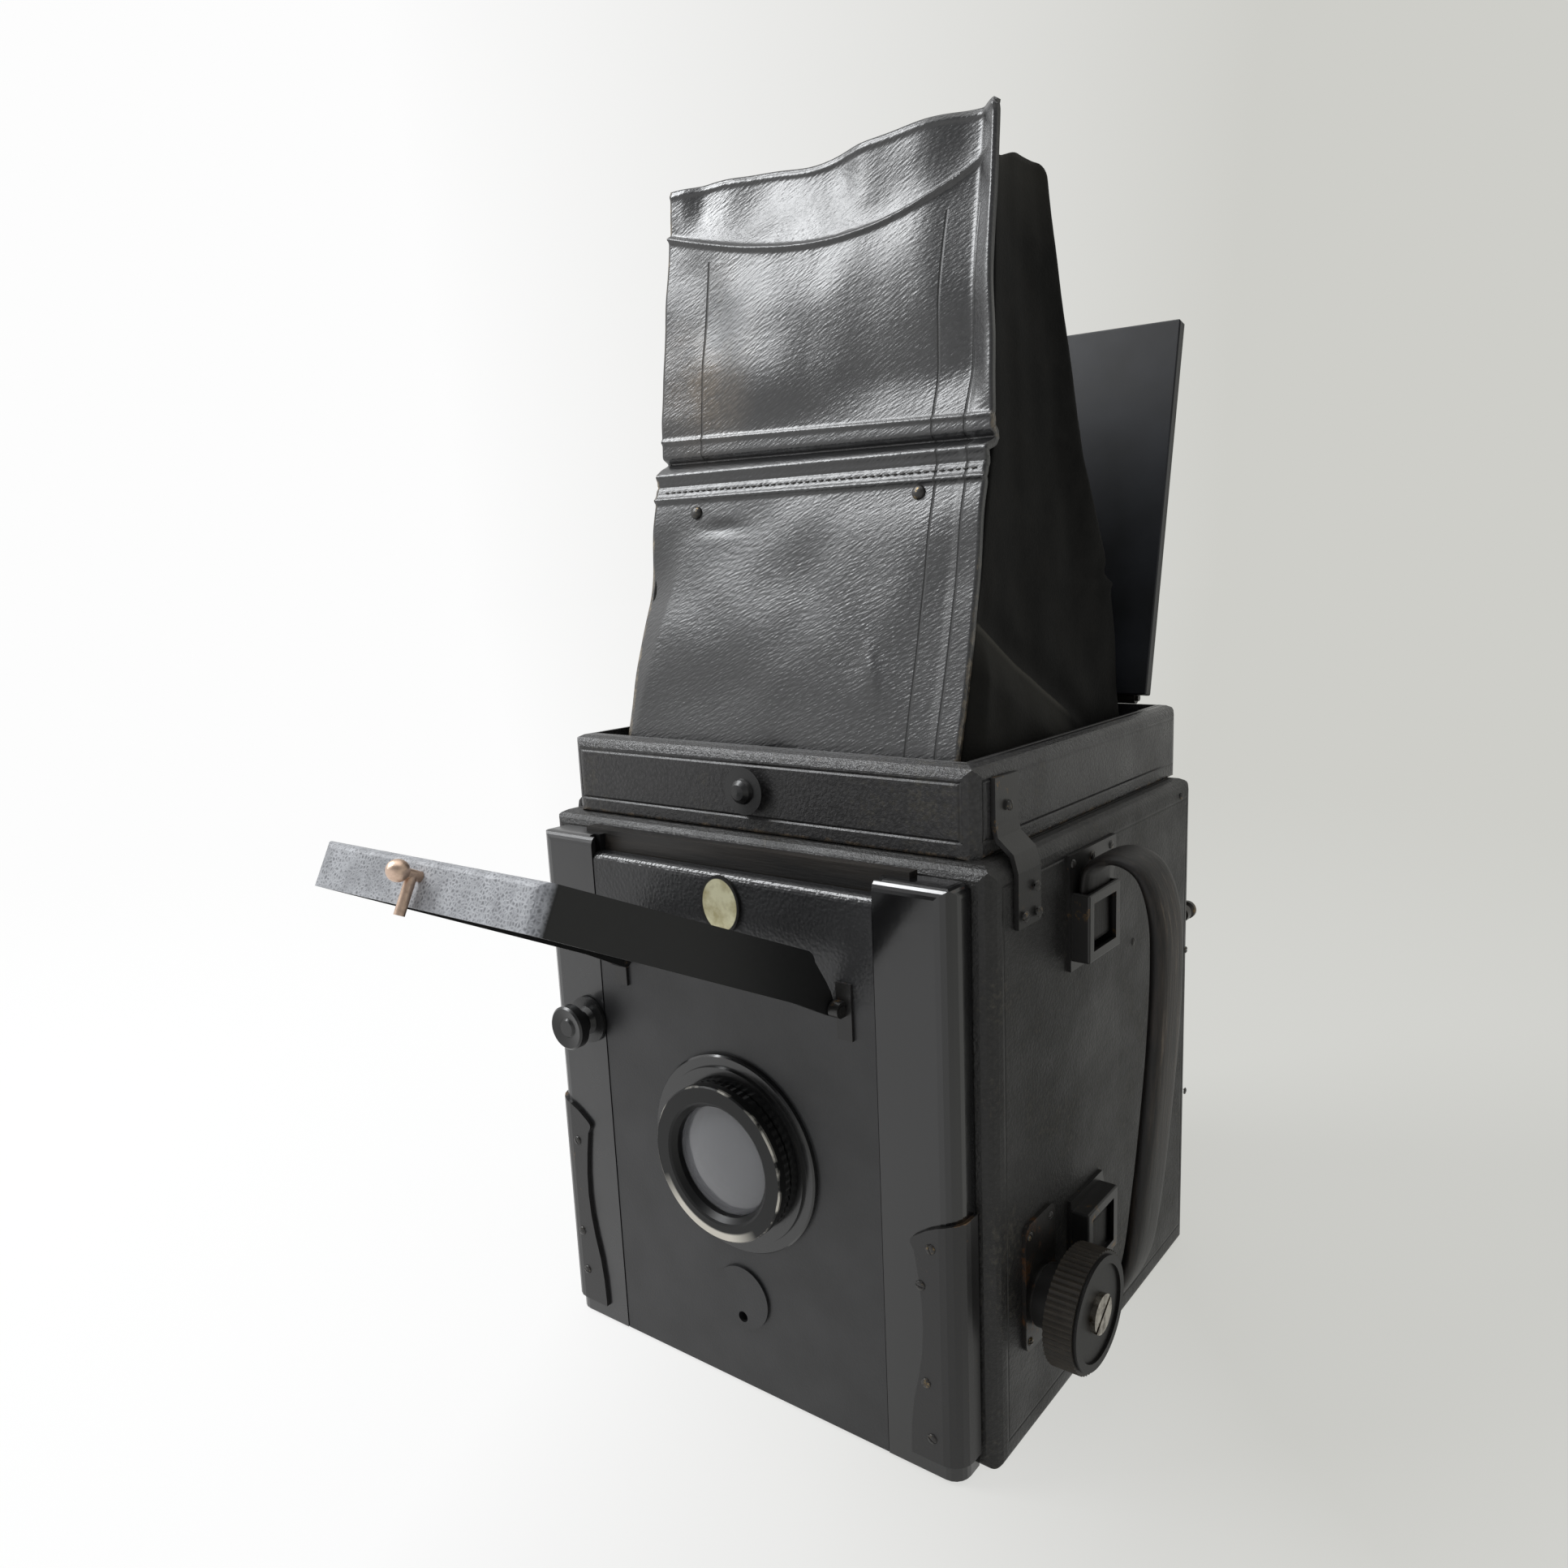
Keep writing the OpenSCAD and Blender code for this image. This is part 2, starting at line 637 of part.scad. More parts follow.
module focus_knob() {
    x0 = side_x + knob_off;
    color("#1a1a1a") difference() {
        union() {
            knurled_x(x0, x0 + knob_t - 1, shaft_y, shaft_z, knob_r, 60);
            rod_x(x0, x0 + knob_t, shaft_y, shaft_z, knob_r - 1.2);
            rod_x(side_x + sheet_t + 0.8 + gap, x0 + 1, shaft_y, shaft_z, 9);
        }
        rod_x(side_x, x0 + knob_t + 1, shaft_y, shaft_z, shaft_r + run);
        // the dished face
        rod_x(x0 + knob_t - 0.8, x0 + knob_t + 1, shaft_y, shaft_z, knob_r - 3.5);
    }
}

module knob_plate() {
    color("#2a2723") difference() {
        union() {
            along_x(side_x, side_x + sheet_t)
                polygon(soft_outline(shaft_y - 10, shaft_z - 14, shaft_y + 8, shaft_z + 25, 3, 3));
            rod_x(side_x, side_x + sheet_t + 0.8, shaft_y, shaft_z, 8);
        }
        rod_x(side_x - 1, side_x + 4, shaft_y, shaft_z, shaft_r + run);
    }
}

// one rack in side view: a bar with straight-sided teeth that mesh under the pinion
function rack_tooth(c) = let (top = PI * gear_m / 4 - backlash / 2 - 0.9 * gear_m * tan(20),
    foot = PI * gear_m / 4 - backlash / 2 + 1.2 * gear_m * tan(20))
    [[c - foot, rack_z - 1.2 * gear_m], [c - top, rack_z + 0.9 * gear_m],
    [c + top, rack_z + 0.9 * gear_m], [c + foot, rack_z - 1.2 * gear_m]];
rack_first = -3;
rack_last = ceil(travel / rack_pitch) + 3;
module racks() {
    color("#a08550") pair() along_x(rack_x - rack_w / 2, rack_x + rack_w / 2) polygon(concat(
        [[std_y1, rack_low], [std_y1, rack_z - 1.2 * gear_m]],
        [for (i = [rack_first:rack_last]) each rack_tooth(shaft_y + (i + 0.5) * rack_pitch)],
        [[rack_back, rack_z - 1.2 * gear_m], [rack_back, rack_low]]));
}

module rack_guides() {
    x0 = rack_x - rack_w / 2 - gap;
    x1 = rack_x + rack_w / 2 + gap;
    color("#5b3d25") pair() difference() {
        block([x0 - 3, bay_front, guide_low], [inner_x, rack_back + 3, rack_z - 1.4]);
        block([x0, bay_front - 1, rack_low - gap], [x1, rack_back + 4, rack_z]);
    }
}

// mirror, shutter and release lever

// a mirror part drawn raised and level, with its pivot axis on X and the mirror along -Y
module as_lowered_mirror() translate([0, mirror_y, mirror_z]) rotate([45, 0, 0]) children();

module mirror_frame() {
    color("#2b2a29") as_lowered_mirror() union() {
        difference() {
            block([-mirror_w / 2, -mirror_len, -mirror_t - 1], [mirror_w / 2, 3, -1]);
            block([-mirror_w / 2 + 3, -mirror_len + 3, -2.2], [mirror_w / 2 - 3, -6, 0]);
        }
        rod_x(-mirror_w / 2, mirror_w / 2, 0, 0, 3.2);
        rod_x(-inner_x - 4, inner_x + 4, 0, 0, pivot_r);
    }
}

module mirror_glass() {
    color([0.8, 0.84, 0.86]) as_lowered_mirror()
        block([-mirror_w / 2 + 3.3, -mirror_len + 3.3, -2.2], [mirror_w / 2 - 3.3, -6.3, -0.2]);
}

module mirror_stops() {
    color("#a08550") pair() translate([inner_x - 16, 0, 0]) as_lowered_mirror()
        translate([0, -mirror_len + 10, -mirror_t - 1 - gap - 2]) rotate([0, 90, 0]) cylinder(h = 16, r = 2);
}

module roller(z) {
    rod_x(-inner_x + 2, inner_x - 2, roller_y, z, roller_r);
    rod_x(-inner_x - 3, inner_x + 3, roller_y, z, 2);
}
module upper_roller() {
    color("#6b4a2c") union() {
        roller(roller_high);
        rod_x(-side_x - 9, -inner_x, roller_y, roller_high, 2);
    }
}
module lower_roller() { color("#6b4a2c") union() roller(roller_low); }

module shutter_blind() {
    color("#141414") difference() {
        block([-frame_w / 2 - 5, blind_y, roller_low], [frame_w / 2 + 5, blind_y + blind_t, roller_high]);
        block([-frame_w / 2, blind_y - 1, roller_high - 18], [frame_w / 2, blind_y + 1, roller_high - 12]);
    }
}

// sheet plates under the shutter's knobs on the left side
module shutter_plates() {
    color("#2a2723") difference() {
        along_x(plate_x1, -side_x) union() {
            polygon(soft_outline(roller_y - 30, roller_high - 17, roller_y + 15, roller_high + 16, 4, 4));
            polygon(soft_outline(roller_y - 12, roller_low - 12, roller_y + 12, roller_low + 12, 8, 8));
        }
        for (z = [roller_low, roller_high]) rod_x(plate_x1 - 1, -side_x + 1, roller_y, z, 2 + run);
    }
}

module winding_knob() {
    color("#1a1a1a") difference() {
        union() {
            knurled_x(plate_x1 - 10, plate_x1 - 2.5, roller_y, roller_high, 13, 44);
            rod_x(plate_x1 - 10.8, plate_x1 - 9, roller_y, roller_high, 11.5);
            rod_x(plate_x1 - 4, plate_x1 - gap, roller_y, roller_high, 6);
        }
        rod_x(-side_x - 9.3, -side_x, roller_y, roller_high, 2 + run);
    }
}

module tension_knob() {
    color("#1a1a1a") union() {
        knurled_x(plate_x1 - 8, plate_x1 - 2.5, roller_y, roller_low, 9, 32);
        rod_x(plate_x1 - 4, plate_x1 - gap, roller_y, roller_low, 5);
        rod_x(plate_x1 - 3, -inner_x - 4.5, roller_y, roller_low, 2);
    }
}

module release_lever() {
    color("#8d7a52") union() {
        rod_x(-side_x - 2.4, -inner_x - 4.5, lever_y, lever_z, 2);
        rod_x(-side_x - 2.4, -side_x - gap, lever_y, lever_z, 4.5);
        along_x(-side_x - 2.4, -side_x - 0.9)
            polygon([[lever_y + 3, lever_z - 3], [lever_y + 3, lever_z + 3], [lever_y - 20, lever_z + 5.5],
                [lever_y - 23, lever_z + 4], [lever_y - 23, lever_z + 0.5], [lever_y - 20, lever_z - 0.5]]);
        // the bent-out finger pad
        block([-side_x - 9, lever_y - 23, lever_z + 3], [-side_x - 0.9, lever_y - 14, lever_z + 4.5]);
    }
}

// back: reversing back, plate holder, dark slide and catches

module reversing_back() {
    half = rev_side / 2;
    rail_in = holder_h / 2 + gap;
    lip_y = holder_y + holder_t + gap;
    color("#1f1d1b") difference() {
        union() {
            block([-half, rev_y, lens_z - half], [half, rev_y + rev_edge_t, lens_z + half]);
            block([-half + rev_edge, rev_y, lens_z - half + rev_edge],
                [half - rev_edge, rev_y + rev_t, lens_z + half - rev_edge]);
            // grooved rails above and below the holder
            for (z = [lens_z + rail_in, lens_z - rail_in - 5])
                block([-half + rev_edge, rev_y, z], [half - rev_edge, lip_y + 1.6, z + 5]);
            for (z = [lens_z + rail_in - 3, lens_z - rail_in - 1])
                block([-half + rev_edge, lip_y, z], [half - rev_edge, lip_y + 1.6, z + 4]);
        }
        block([-frame_w / 2, rev_y - 1, lens_z - frame_h / 2], [frame_w / 2, rev_y + rev_t + 1, lens_z + frame_h / 2]);
    }
}

// fixed metal lips that hold the left edge of the reversing back
module back_keepers() {
    half = rev_side / 2;
    color("#8d7a52") for (z = [lens_z - 34, lens_z + 34]) union() {
        block([-half - 11, back_y, z - 9], [-half - gap, back_y + 1.2, z + 9]);
        block([-half - 2.2, back_y, z - 9], [-half - gap, arm_y + arm_t, z + 9]);
        block([-half - 2.2, arm_y, z - 9], [-half + rev_edge - 1, arm_y + arm_t, z + 9]);
    }
}

// turning catch over the right edge of the reversing back
module back_catch() {
    color("#8d7a52") union() {
        rod_y(back_y - 4.5, arm_y, catch_x, catch_z, 1.5);
        rod_y(back_y + gap, arm_y, catch_x, catch_z, catch_r);
        along_y(arm_y, arm_y + arm_t) polygon(soft_outline(rev_side / 2 - rev_edge + 1, catch_z - 2.4,
            catch_x + 2.4, catch_z + 2.4, 2, 2));
        turned_y(catch_x, catch_z, [[0, arm_y], [1.8, arm_y], [1.8, arm_y + 2.2], [3.2, arm_y + 3],
            [3.2, arm_y + 4.6], [2.6, arm_y + 5.2], [0, arm_y + 5.2]]);
    }
}

module plate_holder() {
    half = holder_t / 2;
    color("#2a1f17") difference() {
        block([-holder_w / 2, holder_y, lens_z - holder_h / 2], [holder_w / 2, holder_y + holder_t, lens_z + holder_h / 2]);
        // each face has a window, a groove for its slide and a hollow for its plate
        for (s = [0, 1]) translate([0, holder_y + half, lens_z]) mirror([0, s, 0]) {
            block([-frame_w / 2, -half - 1, -frame_h / 2], [frame_w / 2, -0.4, frame_h / 2]);
            block([-holder_w / 2 - 1, -half + slide_lip, -slot_h / 2 - gap],
                [frame_w / 2 + 4, -half + slide_lip + slide_t + 2 * gap, slot_h / 2 + gap]);
            block([-frame_w / 2 - 2, -half + slide_lip, -frame_h / 2 - 2], [frame_w / 2 + 2, -0.4, frame_h / 2 + 2]);
        }
    }
}

// a sheath that covers one face's plate, with an edge strip and a pull; side is 0 for the face
// towards the lens and 1 for the other
module slide(side) {
    half = holder_t / 2;
    y = -half + slide_lip + gap;
    edge_x = -holder_w / 2 - 0.6;
    pull_z = side == 0 ? 20 : -20;
    color("#141414") translate([0, holder_y + half, lens_z]) mirror([0, side, 0]) union() {
        block([edge_x, y, -slot_h / 2], [frame_w / 2 + 3.5, y + slide_t, slot_h / 2]);
        block([edge_x - 2.4, y - 1, -slot_h / 2], [edge_x, y + slide_t + 1, slot_h / 2]);
        block([edge_x - 11, y, pull_z - 9], [edge_x - 2, y + slide_t, pull_z + 9]);
    }
}
module front_slide() slide(0);
module rear_slide() slide(1);

// front standard: plate, rails, corner plates and bellows

module front_frame() {
    color("#5b3d25") difference() {
        block([-plate_x, plate_y, std_lift], [plate_x, std_y1, std_h + 1.5]);
        block([-bellows_x + 7, plate_y - 1, bellows_z0 + 9], [bellows_x - 7, std_y1 + 1, bellows_z1 - 9]);
    }
}

// one rail, drawn on the +X side
module rail() {
    difference() {
        intersection() {
            union() {
                block([rail_x, std_y0, std_lift], [std_w / 2, plate_y, std_h]);
                block([plate_x, std_y0, std_lift], [std_w / 2, std_y1, std_h]);
            }
            along_z(0, std_h) polygon(concat([[0, std_y0], [std_w / 2 - rail_r, std_y0]],
                arc(std_w / 2 - rail_r, std_y0 + rail_r, rail_r, -90, 0), [[std_w / 2, std_y1], [0, std_y1]]));
            along_x(0, std_w) polygon(concat([[std_y1, std_lift], [std_y1, std_h]],
                arc(std_y0 + 3, std_h - 3, 3, 90, 180), [[std_y0, std_lift]]));
            along_y(std_y0, std_y1) polygon(concat([[0, std_lift], [std_w / 2, std_lift]],
                arc(std_w / 2 - 3, std_h - 3, 3, 0, 90), [[0, std_h]]));
        }
        // the groove that the lens board's tongue slides in
        block([rail_x - 1, board_y0 + board_t / 2 - tongue_t / 2 - gap, 0],
            [rail_x - gap + tongue_w + gap, board_y0 + board_t / 2 + tongue_t / 2 + gap, std_h + 1]);
    }
}
module right_rail() {
    color("#171717") rail();
}
module left_rail() {
    color("#232322") difference() {
        mirror([1, 0, 0]) rail();
        rod_y(std_y0 - 1, plate_y + 0.1, -rail_x - knob_in, rise_knob_z, 2 + run);
    }
}

// curved inner edge of a corner plate, as [distance from the outer corner, height]
corner_z1 = 78;
corner_z0 = 6;
corner_hook = 14;
corner_foot = 16.4;
function corner_edge() = concat(
    [[0, corner_z1]],
    [for (i = [1:4]) [corner_hook * i / 4 - 0.4, corner_z1 - 5.5 * pow(i / 4, 2)]],
    arc(corner_hook - 0.4, corner_z1 - 7.5, 1.6, 60, -30, 3),
    [for (i = [0:8]) let (t = i / 8)
        [corner_hook - 3.2 * sin(180 * min(t * 1.25, 1)) + (corner_foot - corner_hook) * t,
        corner_z1 - 10 - (corner_z1 - 12 - corner_z0) * t]],
    [[corner_foot, corner_z0], [0, corner_z0]]);

module corner_plates() {
    out = std_w / 2 + sheet_t;
    r = rail_r + sheet_t;
    color("#2a2723") pair() intersection() {
        along_z(corner_z0, corner_z1) difference() {
            polygon(concat([[0, std_y0 - sheet_t], [out - r, std_y0 - sheet_t]],
                arc(out - r, std_y0 - sheet_t + r, r, -90, 0), [[out, std_y1 - 0.8], [0, std_y1 - 0.8]]));
            polygon(concat([[-1, std_y0], [std_w / 2 - rail_r, std_y0]],
                arc(std_w / 2 - rail_r, std_y0 + rail_r, rail_r, -90, 0), [[std_w / 2, std_y1 + 1], [-1, std_y1 + 1]]));
        }
        along_y(std_y0 - 2, std_y1) polygon([for (p = corner_edge()) [out - p.x, p.y]]);
    }
}

// shut bellows: wide and narrow pleats in turn
module bellows() {
    y0 = std_y1 + gap;
    y1 = bay_front - bellows_ledge;
    fold = (y1 - y0) / (2 * bellows_pleats);
    color("#1c1b1b") union() for (i = [0:2 * bellows_pleats - 1]) {
        in = i % 2 == 0 ? 0 : 2.2;
        along_y(y0 + i * fold, y0 + (i + 1) * fold) difference() {
            polygon([[-bellows_x + in, bellows_z0 + in], [bellows_x - in, bellows_z0 + in],
                [bellows_x - in, bellows_z1 - in], [-bellows_x + in, bellows_z1 - in]]);
            polygon([[-bellows_x + 3.6, bellows_z0 + 3.6], [bellows_x - 3.6, bellows_z0 + 3.6],
                [bellows_x - 3.6, bellows_z1 - 3.6], [-bellows_x + 3.6, bellows_z1 - 3.6]]);
        }
    }
}

module rise_knob() {
    y = std_y0 - gap;
    color("#1b1b1b") union() {
        turned_y(-rail_x - knob_in, rise_knob_z, [[0, y - 9.6], [2.6, y - 9.6], [3.2, y - 9.1], [6.4, y - 9.8],
            [7, y - 9.2], [7, y - 6.4], [4.4, y - 5.2], [3.8, y - 3], [4.6, y - 1.4], [7.5, y - 1],
            [7.5, y], [2, y], [2, plate_y - gap], [0, plate_y - gap]]);
    }
}

// lens board and lens

module lens_panel() {
    color("#222221") difference() {
        union() {
            along_x(-board_x, board_x) polygon(concat([[board_y0, std_lift], [board_y1, std_lift], [board_y1, board_h]],
                arc(board_y0 + 2.4, board_h - 2.4, 2.4, 90, 180)));
            block([-board_x - tongue_w + gap, board_y0 + board_t / 2 - tongue_t / 2, std_lift],
                [board_x + tongue_w - gap, board_y0 + board_t / 2 + tongue_t / 2, board_h - 2.4]);
        }
        rod_y(board_y0 - 1, board_y1 + 1, 0, lens_z, barrel_r + run);
        rod_y(board_y0 - 1, board_y0 + 3.5, 0, catch_hole_z, 1.75);
    }
}

badge_z = 154;
module badge() {
    color("#cfc9a6") translate([0, 0, badge_z]) along_y(board_y0 - 0.8, board_y0)
        polygon([for (i = [0:35]) [7.2 * cos(10 * i), 8.6 * sin(10 * i)]]);
}

module catch_plate() {
    color("#2a2723") difference() {
        rod_y(board_y0 - 0.8, board_y0, 0, catch_hole_z + 6.5, 10);
        rod_y(board_y0 - 2, board_y0 + 1, 0, catch_hole_z, 1.75);
    }
}

// parts of the lens door are drawn shut, with the hinge axis on X, then swung up
module as_raised_door() translate([0, door_y, door_hinge_z]) rotate([-90 - door_raise, 0, 0]) children();

// the door in side view, shut: [y, z] from the hinge axis
function door_side(in) = concat(
    arc(-door_high + 5 + in, -door_start - 7, 5, 175, 90, 4),
    [[-door_rim, -door_start], [-door_rim, -door_len + in], [-door_low + 3 + in, -door_len + in]],
    arc(-door_low + 2 + in, -door_len + 2 + in, 2, 260, 190, 3));

module lens_door() {
    half = door_w / 2;
    color("#2d2c2b") as_raised_door() difference() {
        union() {
            intersection() {
                along_x(-half, half) polygon(door_side(0));
                along_y(-door_high - 1, 3) polygon(soft_outline(-half, -door_len, half, 8, door_corner, 0.5));
            }
            // arms that reach from the rims to the pins
            pair() along_x(half - door_wall, half) union() {
                circle(2.1);
                polygon([[-2.1, 0.3], [2.1, 0], [1.2, -16], [-door_high + 0.3, -16], [-door_high + 2.2, -door_start - 3],
                    [-6.2, -4.8], [-4, -1.6]]);
            }
        }
        // the hollow that clears the lens, rounded like the outside
        intersection() {
            along_x(-half + door_wall, half - door_wall)
                polygon([[-door_high + door_wall, -door_start - 4], [-door_high + 5, -door_start - 4],
                    [-door_high + 5, -door_start - 1], [3, 3], [3, -door_len + door_wall],
                    [-door_low + door_wall, -door_len + door_wall]]);
            along_y(-door_high - 1, 4) polygon(soft_outline(-half + door_wall, -door_len + door_wall,
                half - door_wall, 8, door_corner - door_wall, 0.5));
        }
        rod_x(-half - 1, half + 1, 0, 0, door_pin_r + run);
        rod_z(-door_len - 1, -door_len + door_wall + 1, 0, -latch_n, latch_r + run);
    }
}

module door_latch() {
    color("#b98f72") as_raised_door() union() {
        rod_z(-hook_s - 3, -door_len + door_wall + 1.2, 0, -latch_n, latch_r);
        translate([0, -latch_n, -door_len + door_wall + 0.3]) cylinder(h = 1, r = 2.2);
        translate([0, -latch_n, -hook_s - 3.6]) sphere(r = 2.5);
        rod_y(-latch_n, 3.4, 0, -hook_s, latch_r);
    }
}

// two ears with the pins that the door turns on
module door_ears() {
    color("#2a2723") pair() union() {
        block([ear_x, board_y0 - 0.9, door_hinge_z - 9], [ear_x + ear_w + 2, board_y0, door_hinge_z + 7]);
        rod_x(ear_x, ear_x + ear_w, door_y, door_hinge_z, 2.2);
        block([ear_x, door_y, door_hinge_z - 2.2], [ear_x + ear_w, board_y0, door_hinge_z + 2.2]);
        rod_x(door_w / 2 - door_wall - 0.6, ear_x + ear_w + 0.4, door_y, door_hinge_z, door_pin_r);
    }
}

module lens_flange() {
    color("#1b1b1b") turned_y(0, lens_z, [[barrel_r + run, board_y0], [flange_r, board_y0],
        [flange_r, board_y0 - flange_t + 0.5], [flange_r - 0.5, board_y0 - flange_t],
        [flange_r - 3.2, board_y0 - flange_t], [flange_r - 3.4, board_y0 - collar_t],
        [barrel_r + run, board_y0 - collar_t]]);
}

module lens_barrel() {
    front = board_y0 - lens_out;
    step = glass_r + run;
    color("#161616") turned_y(0, lens_z, [[step, front + 2], [glass_r + 1.3, front + 0.4], [glass_r + 2, front],
        [bezel_r - 0.4, front], [bezel_r, front + 0.4], [bezel_r, front + bezel_t], [barrel_r, front + bezel_t],
        [barrel_r, board_y1 + lens_in], [glass_r - 0.4, board_y1 + lens_in], [glass_r - 0.4, board_y1 + lens_in - 1],
        [glass_r - 1 + run, board_y1 + lens_in - 1], [glass_r - 1 + run, board_y1 + 3], [glass_r - 2, board_y1 + 3],
        [glass_r - 2, board_y1 + 2.4], [step, board_y1 + 2.4]]);
}

// knurled ring that sets the iris, between the bezel and the collar
module aperture_ring() {
    y0 = board_y0 - lens_out + bezel_t + gap;
    color("#202020") difference() {
        translate([0, ring_y0, lens_z]) rotate([90, 0, 0]) linear_extrude(ring_y0 - y0)
            polygon([for (i = [0:119]) let (q = bezel_r - 0.4 - (i % 2) * 0.4) [q * cos(3 * i), q * sin(3 * i)]]);
        rod_y(y0 - 1, ring_y0 + 1, 0, lens_z, barrel_r + run);
    }
}

// a glass of radius r whose bulged front stands at y0 and whose back is at y1
module bulged_glass(r, bulge, y0, y1) {
    turned_y(0, lens_z, concat([for (i = [0:6]) [r * i / 6, y0 + bulge * pow(i / 6, 2)]], [[r, y1], [0, y1]]));
}
module front_element() {
    color([0.72, 0.74, 0.74, 0.6]) bulged_glass(glass_r, 2.4, board_y0 - lens_out + 1.4, board_y0 - 1);
}
module rear_element() {
    color([0.72, 0.74, 0.74, 0.6]) mirror([0, 1, 0])
        bulged_glass(glass_r - 1, 1.6, -(board_y1 + lens_in - 1.5), -(board_y1 + lens_in - 6));
}
module iris_blades() {
    color("#0f0f0f") turned_y(0, lens_z, [[glass_r - 3, board_y0 + 2], [glass_r, board_y0 + 2],
        [glass_r, board_y0 + 3], [glass_r - 3, board_y0 + 3]]);
}

side_board_left();
side_board_right();
base_board();
top_deck();
front_bulkhead();
back_frame();
tripod_bush();
screen_frame();
ground_glass();
hood_box();
hood_front();
hood_sides();
hood_back();
lid_hinge_leaves();
lid_button();
box_clips();
handle_strap();
upper_keeper();
lower_keeper();
knob_plate();
rack_guides();
mirror_stops();
shutter_blind();
upper_roller();
lower_roller();
reversing_back();
back_keepers();
back_catch();
plate_holder();
front_slide();
rear_slide();
winding_knob();
tension_knob();
shutter_plates();
release_lever();
mirror_frame();
mirror_glass();
front_frame();
left_rail();
right_rail();
corner_plates();
racks();
bellows();
rise_knob();
lens_panel();
badge();
catch_plate();
door_ears();
lens_flange();
lens_barrel();
front_element();
rear_element();
iris_blades();
aperture_ring();
lens_door();
door_latch();
focus_shaft();
focus_knob();
lid_board();
lid_hinge_straps();
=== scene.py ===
import math

import bmesh
import bpy
from mathutils import Matrix, Vector, noise


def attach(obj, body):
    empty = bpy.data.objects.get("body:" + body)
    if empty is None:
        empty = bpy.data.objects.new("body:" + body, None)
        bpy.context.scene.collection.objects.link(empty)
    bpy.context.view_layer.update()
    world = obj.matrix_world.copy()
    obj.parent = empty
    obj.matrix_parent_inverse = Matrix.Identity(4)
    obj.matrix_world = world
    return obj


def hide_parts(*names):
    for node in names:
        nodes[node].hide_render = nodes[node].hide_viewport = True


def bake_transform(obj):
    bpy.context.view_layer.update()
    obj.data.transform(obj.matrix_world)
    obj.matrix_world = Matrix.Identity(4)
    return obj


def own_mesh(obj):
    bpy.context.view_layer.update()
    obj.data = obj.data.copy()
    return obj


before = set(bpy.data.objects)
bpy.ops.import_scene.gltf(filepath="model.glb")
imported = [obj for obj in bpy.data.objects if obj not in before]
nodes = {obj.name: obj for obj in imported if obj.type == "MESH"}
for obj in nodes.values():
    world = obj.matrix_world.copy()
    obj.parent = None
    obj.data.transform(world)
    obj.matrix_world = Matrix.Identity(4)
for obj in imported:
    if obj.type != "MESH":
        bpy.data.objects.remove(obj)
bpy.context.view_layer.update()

scene = bpy.context.scene

# Camera. It stands where the photographer stood, close to the right front corner and level
# with the hood's lower board. It looks down by eleven degrees and leans over by two. The
# shift frames the object as the picture does.
lens = bpy.data.cameras.new("camera")
lens.sensor_width = 36
lens.lens = 27.17
lens.shift_x = -0.055
lens.shift_y = 0.006
lens.clip_start = 0.01
camera = bpy.data.objects.new("camera", lens)
camera.location = (0.2219, -0.3192, 0.2471)
camera.rotation_euler = [math.radians(a) for a in (79.03, 1.82, 34.985)]
scene.collection.objects.link(camera)
scene.camera = camera


# Floor and light. A pale cloth lies under the object and fades into the backdrop behind it. A
# soft window light comes from the left front; the ceiling and the room fill the shadows.
def linear(code):
    parts = [int(code[i:i + 2], 16) / 255 for i in (0, 2, 4)]
    return tuple(v / 12.92 if v <= 0.04045 else ((v + 0.055) / 1.055) ** 2.4 for v in parts) + (1.0,)


def add(tree, kind, inputs=None, stops=None, feeds=None, **settings):
    """Adds a node. An input is a number, a colour, an output, or a node, which stands for the
    colour of a Mix and for the first output of any other. The new node may feed a socket."""
    made = tree.nodes.new("ShaderNode" + kind)
    for name, value in settings.items():
        setattr(made, name, value)
    for name, value in (inputs or {}).items():
        if isinstance(value, bpy.types.Node):
            value = value.outputs[2 if value.bl_idname == "ShaderNodeMix" else 0]
        if isinstance(value, bpy.types.NodeSocket):
            tree.links.new(value, made.inputs[name])
        else:
            made.inputs[name].default_value = value
    if stops:
        for i, (place, shade) in enumerate(stops):
            stop = made.color_ramp.elements[i] if i < 2 else made.color_ramp.elements.new(place)
            stop.position = place
            stop.color = (shade, shade, shade, 1) if isinstance(shade, (int, float)) else shade
    if feeds:
        tree.links.new(made.outputs[2 if kind == "Mix" else 0], feeds)
    return made


scene.view_settings.view_transform = "Standard"
sky = bpy.data.worlds.new("room")
scene.world = sky
sky.use_nodes = True


def backdrop_shade(tree, way):
    """The backdrop along a direction from the object: white on the window's side, grey on the other."""
    right = add(tree, "VectorMath", {0: way, 1: (0.819, 0.573, 0.0)}, operation="DOT_PRODUCT")
    part = add(tree, "MapRange", {"Value": right.outputs["Value"], "From Min": -0.4, "From Max": 0.4})
    return add(tree, "ValToRGB", {0: part},
               stops=[(0.1, linear("fdfdfd")), (0.85, linear("cecec9"))]).outputs[0]


def sees_backdrop(tree):
    """1 for what the camera sees, and for what metal and glass show of the backdrop."""
    path = add(tree, "LightPath")
    first = add(tree, "Math", {0: path.outputs["Is Camera Ray"], 1: path.outputs["Is Glossy Ray"]},
                operation="MAXIMUM")
    return add(tree, "Math", {0: first, 1: path.outputs["Is Transmission Ray"]},
               operation="MAXIMUM").outputs[0]


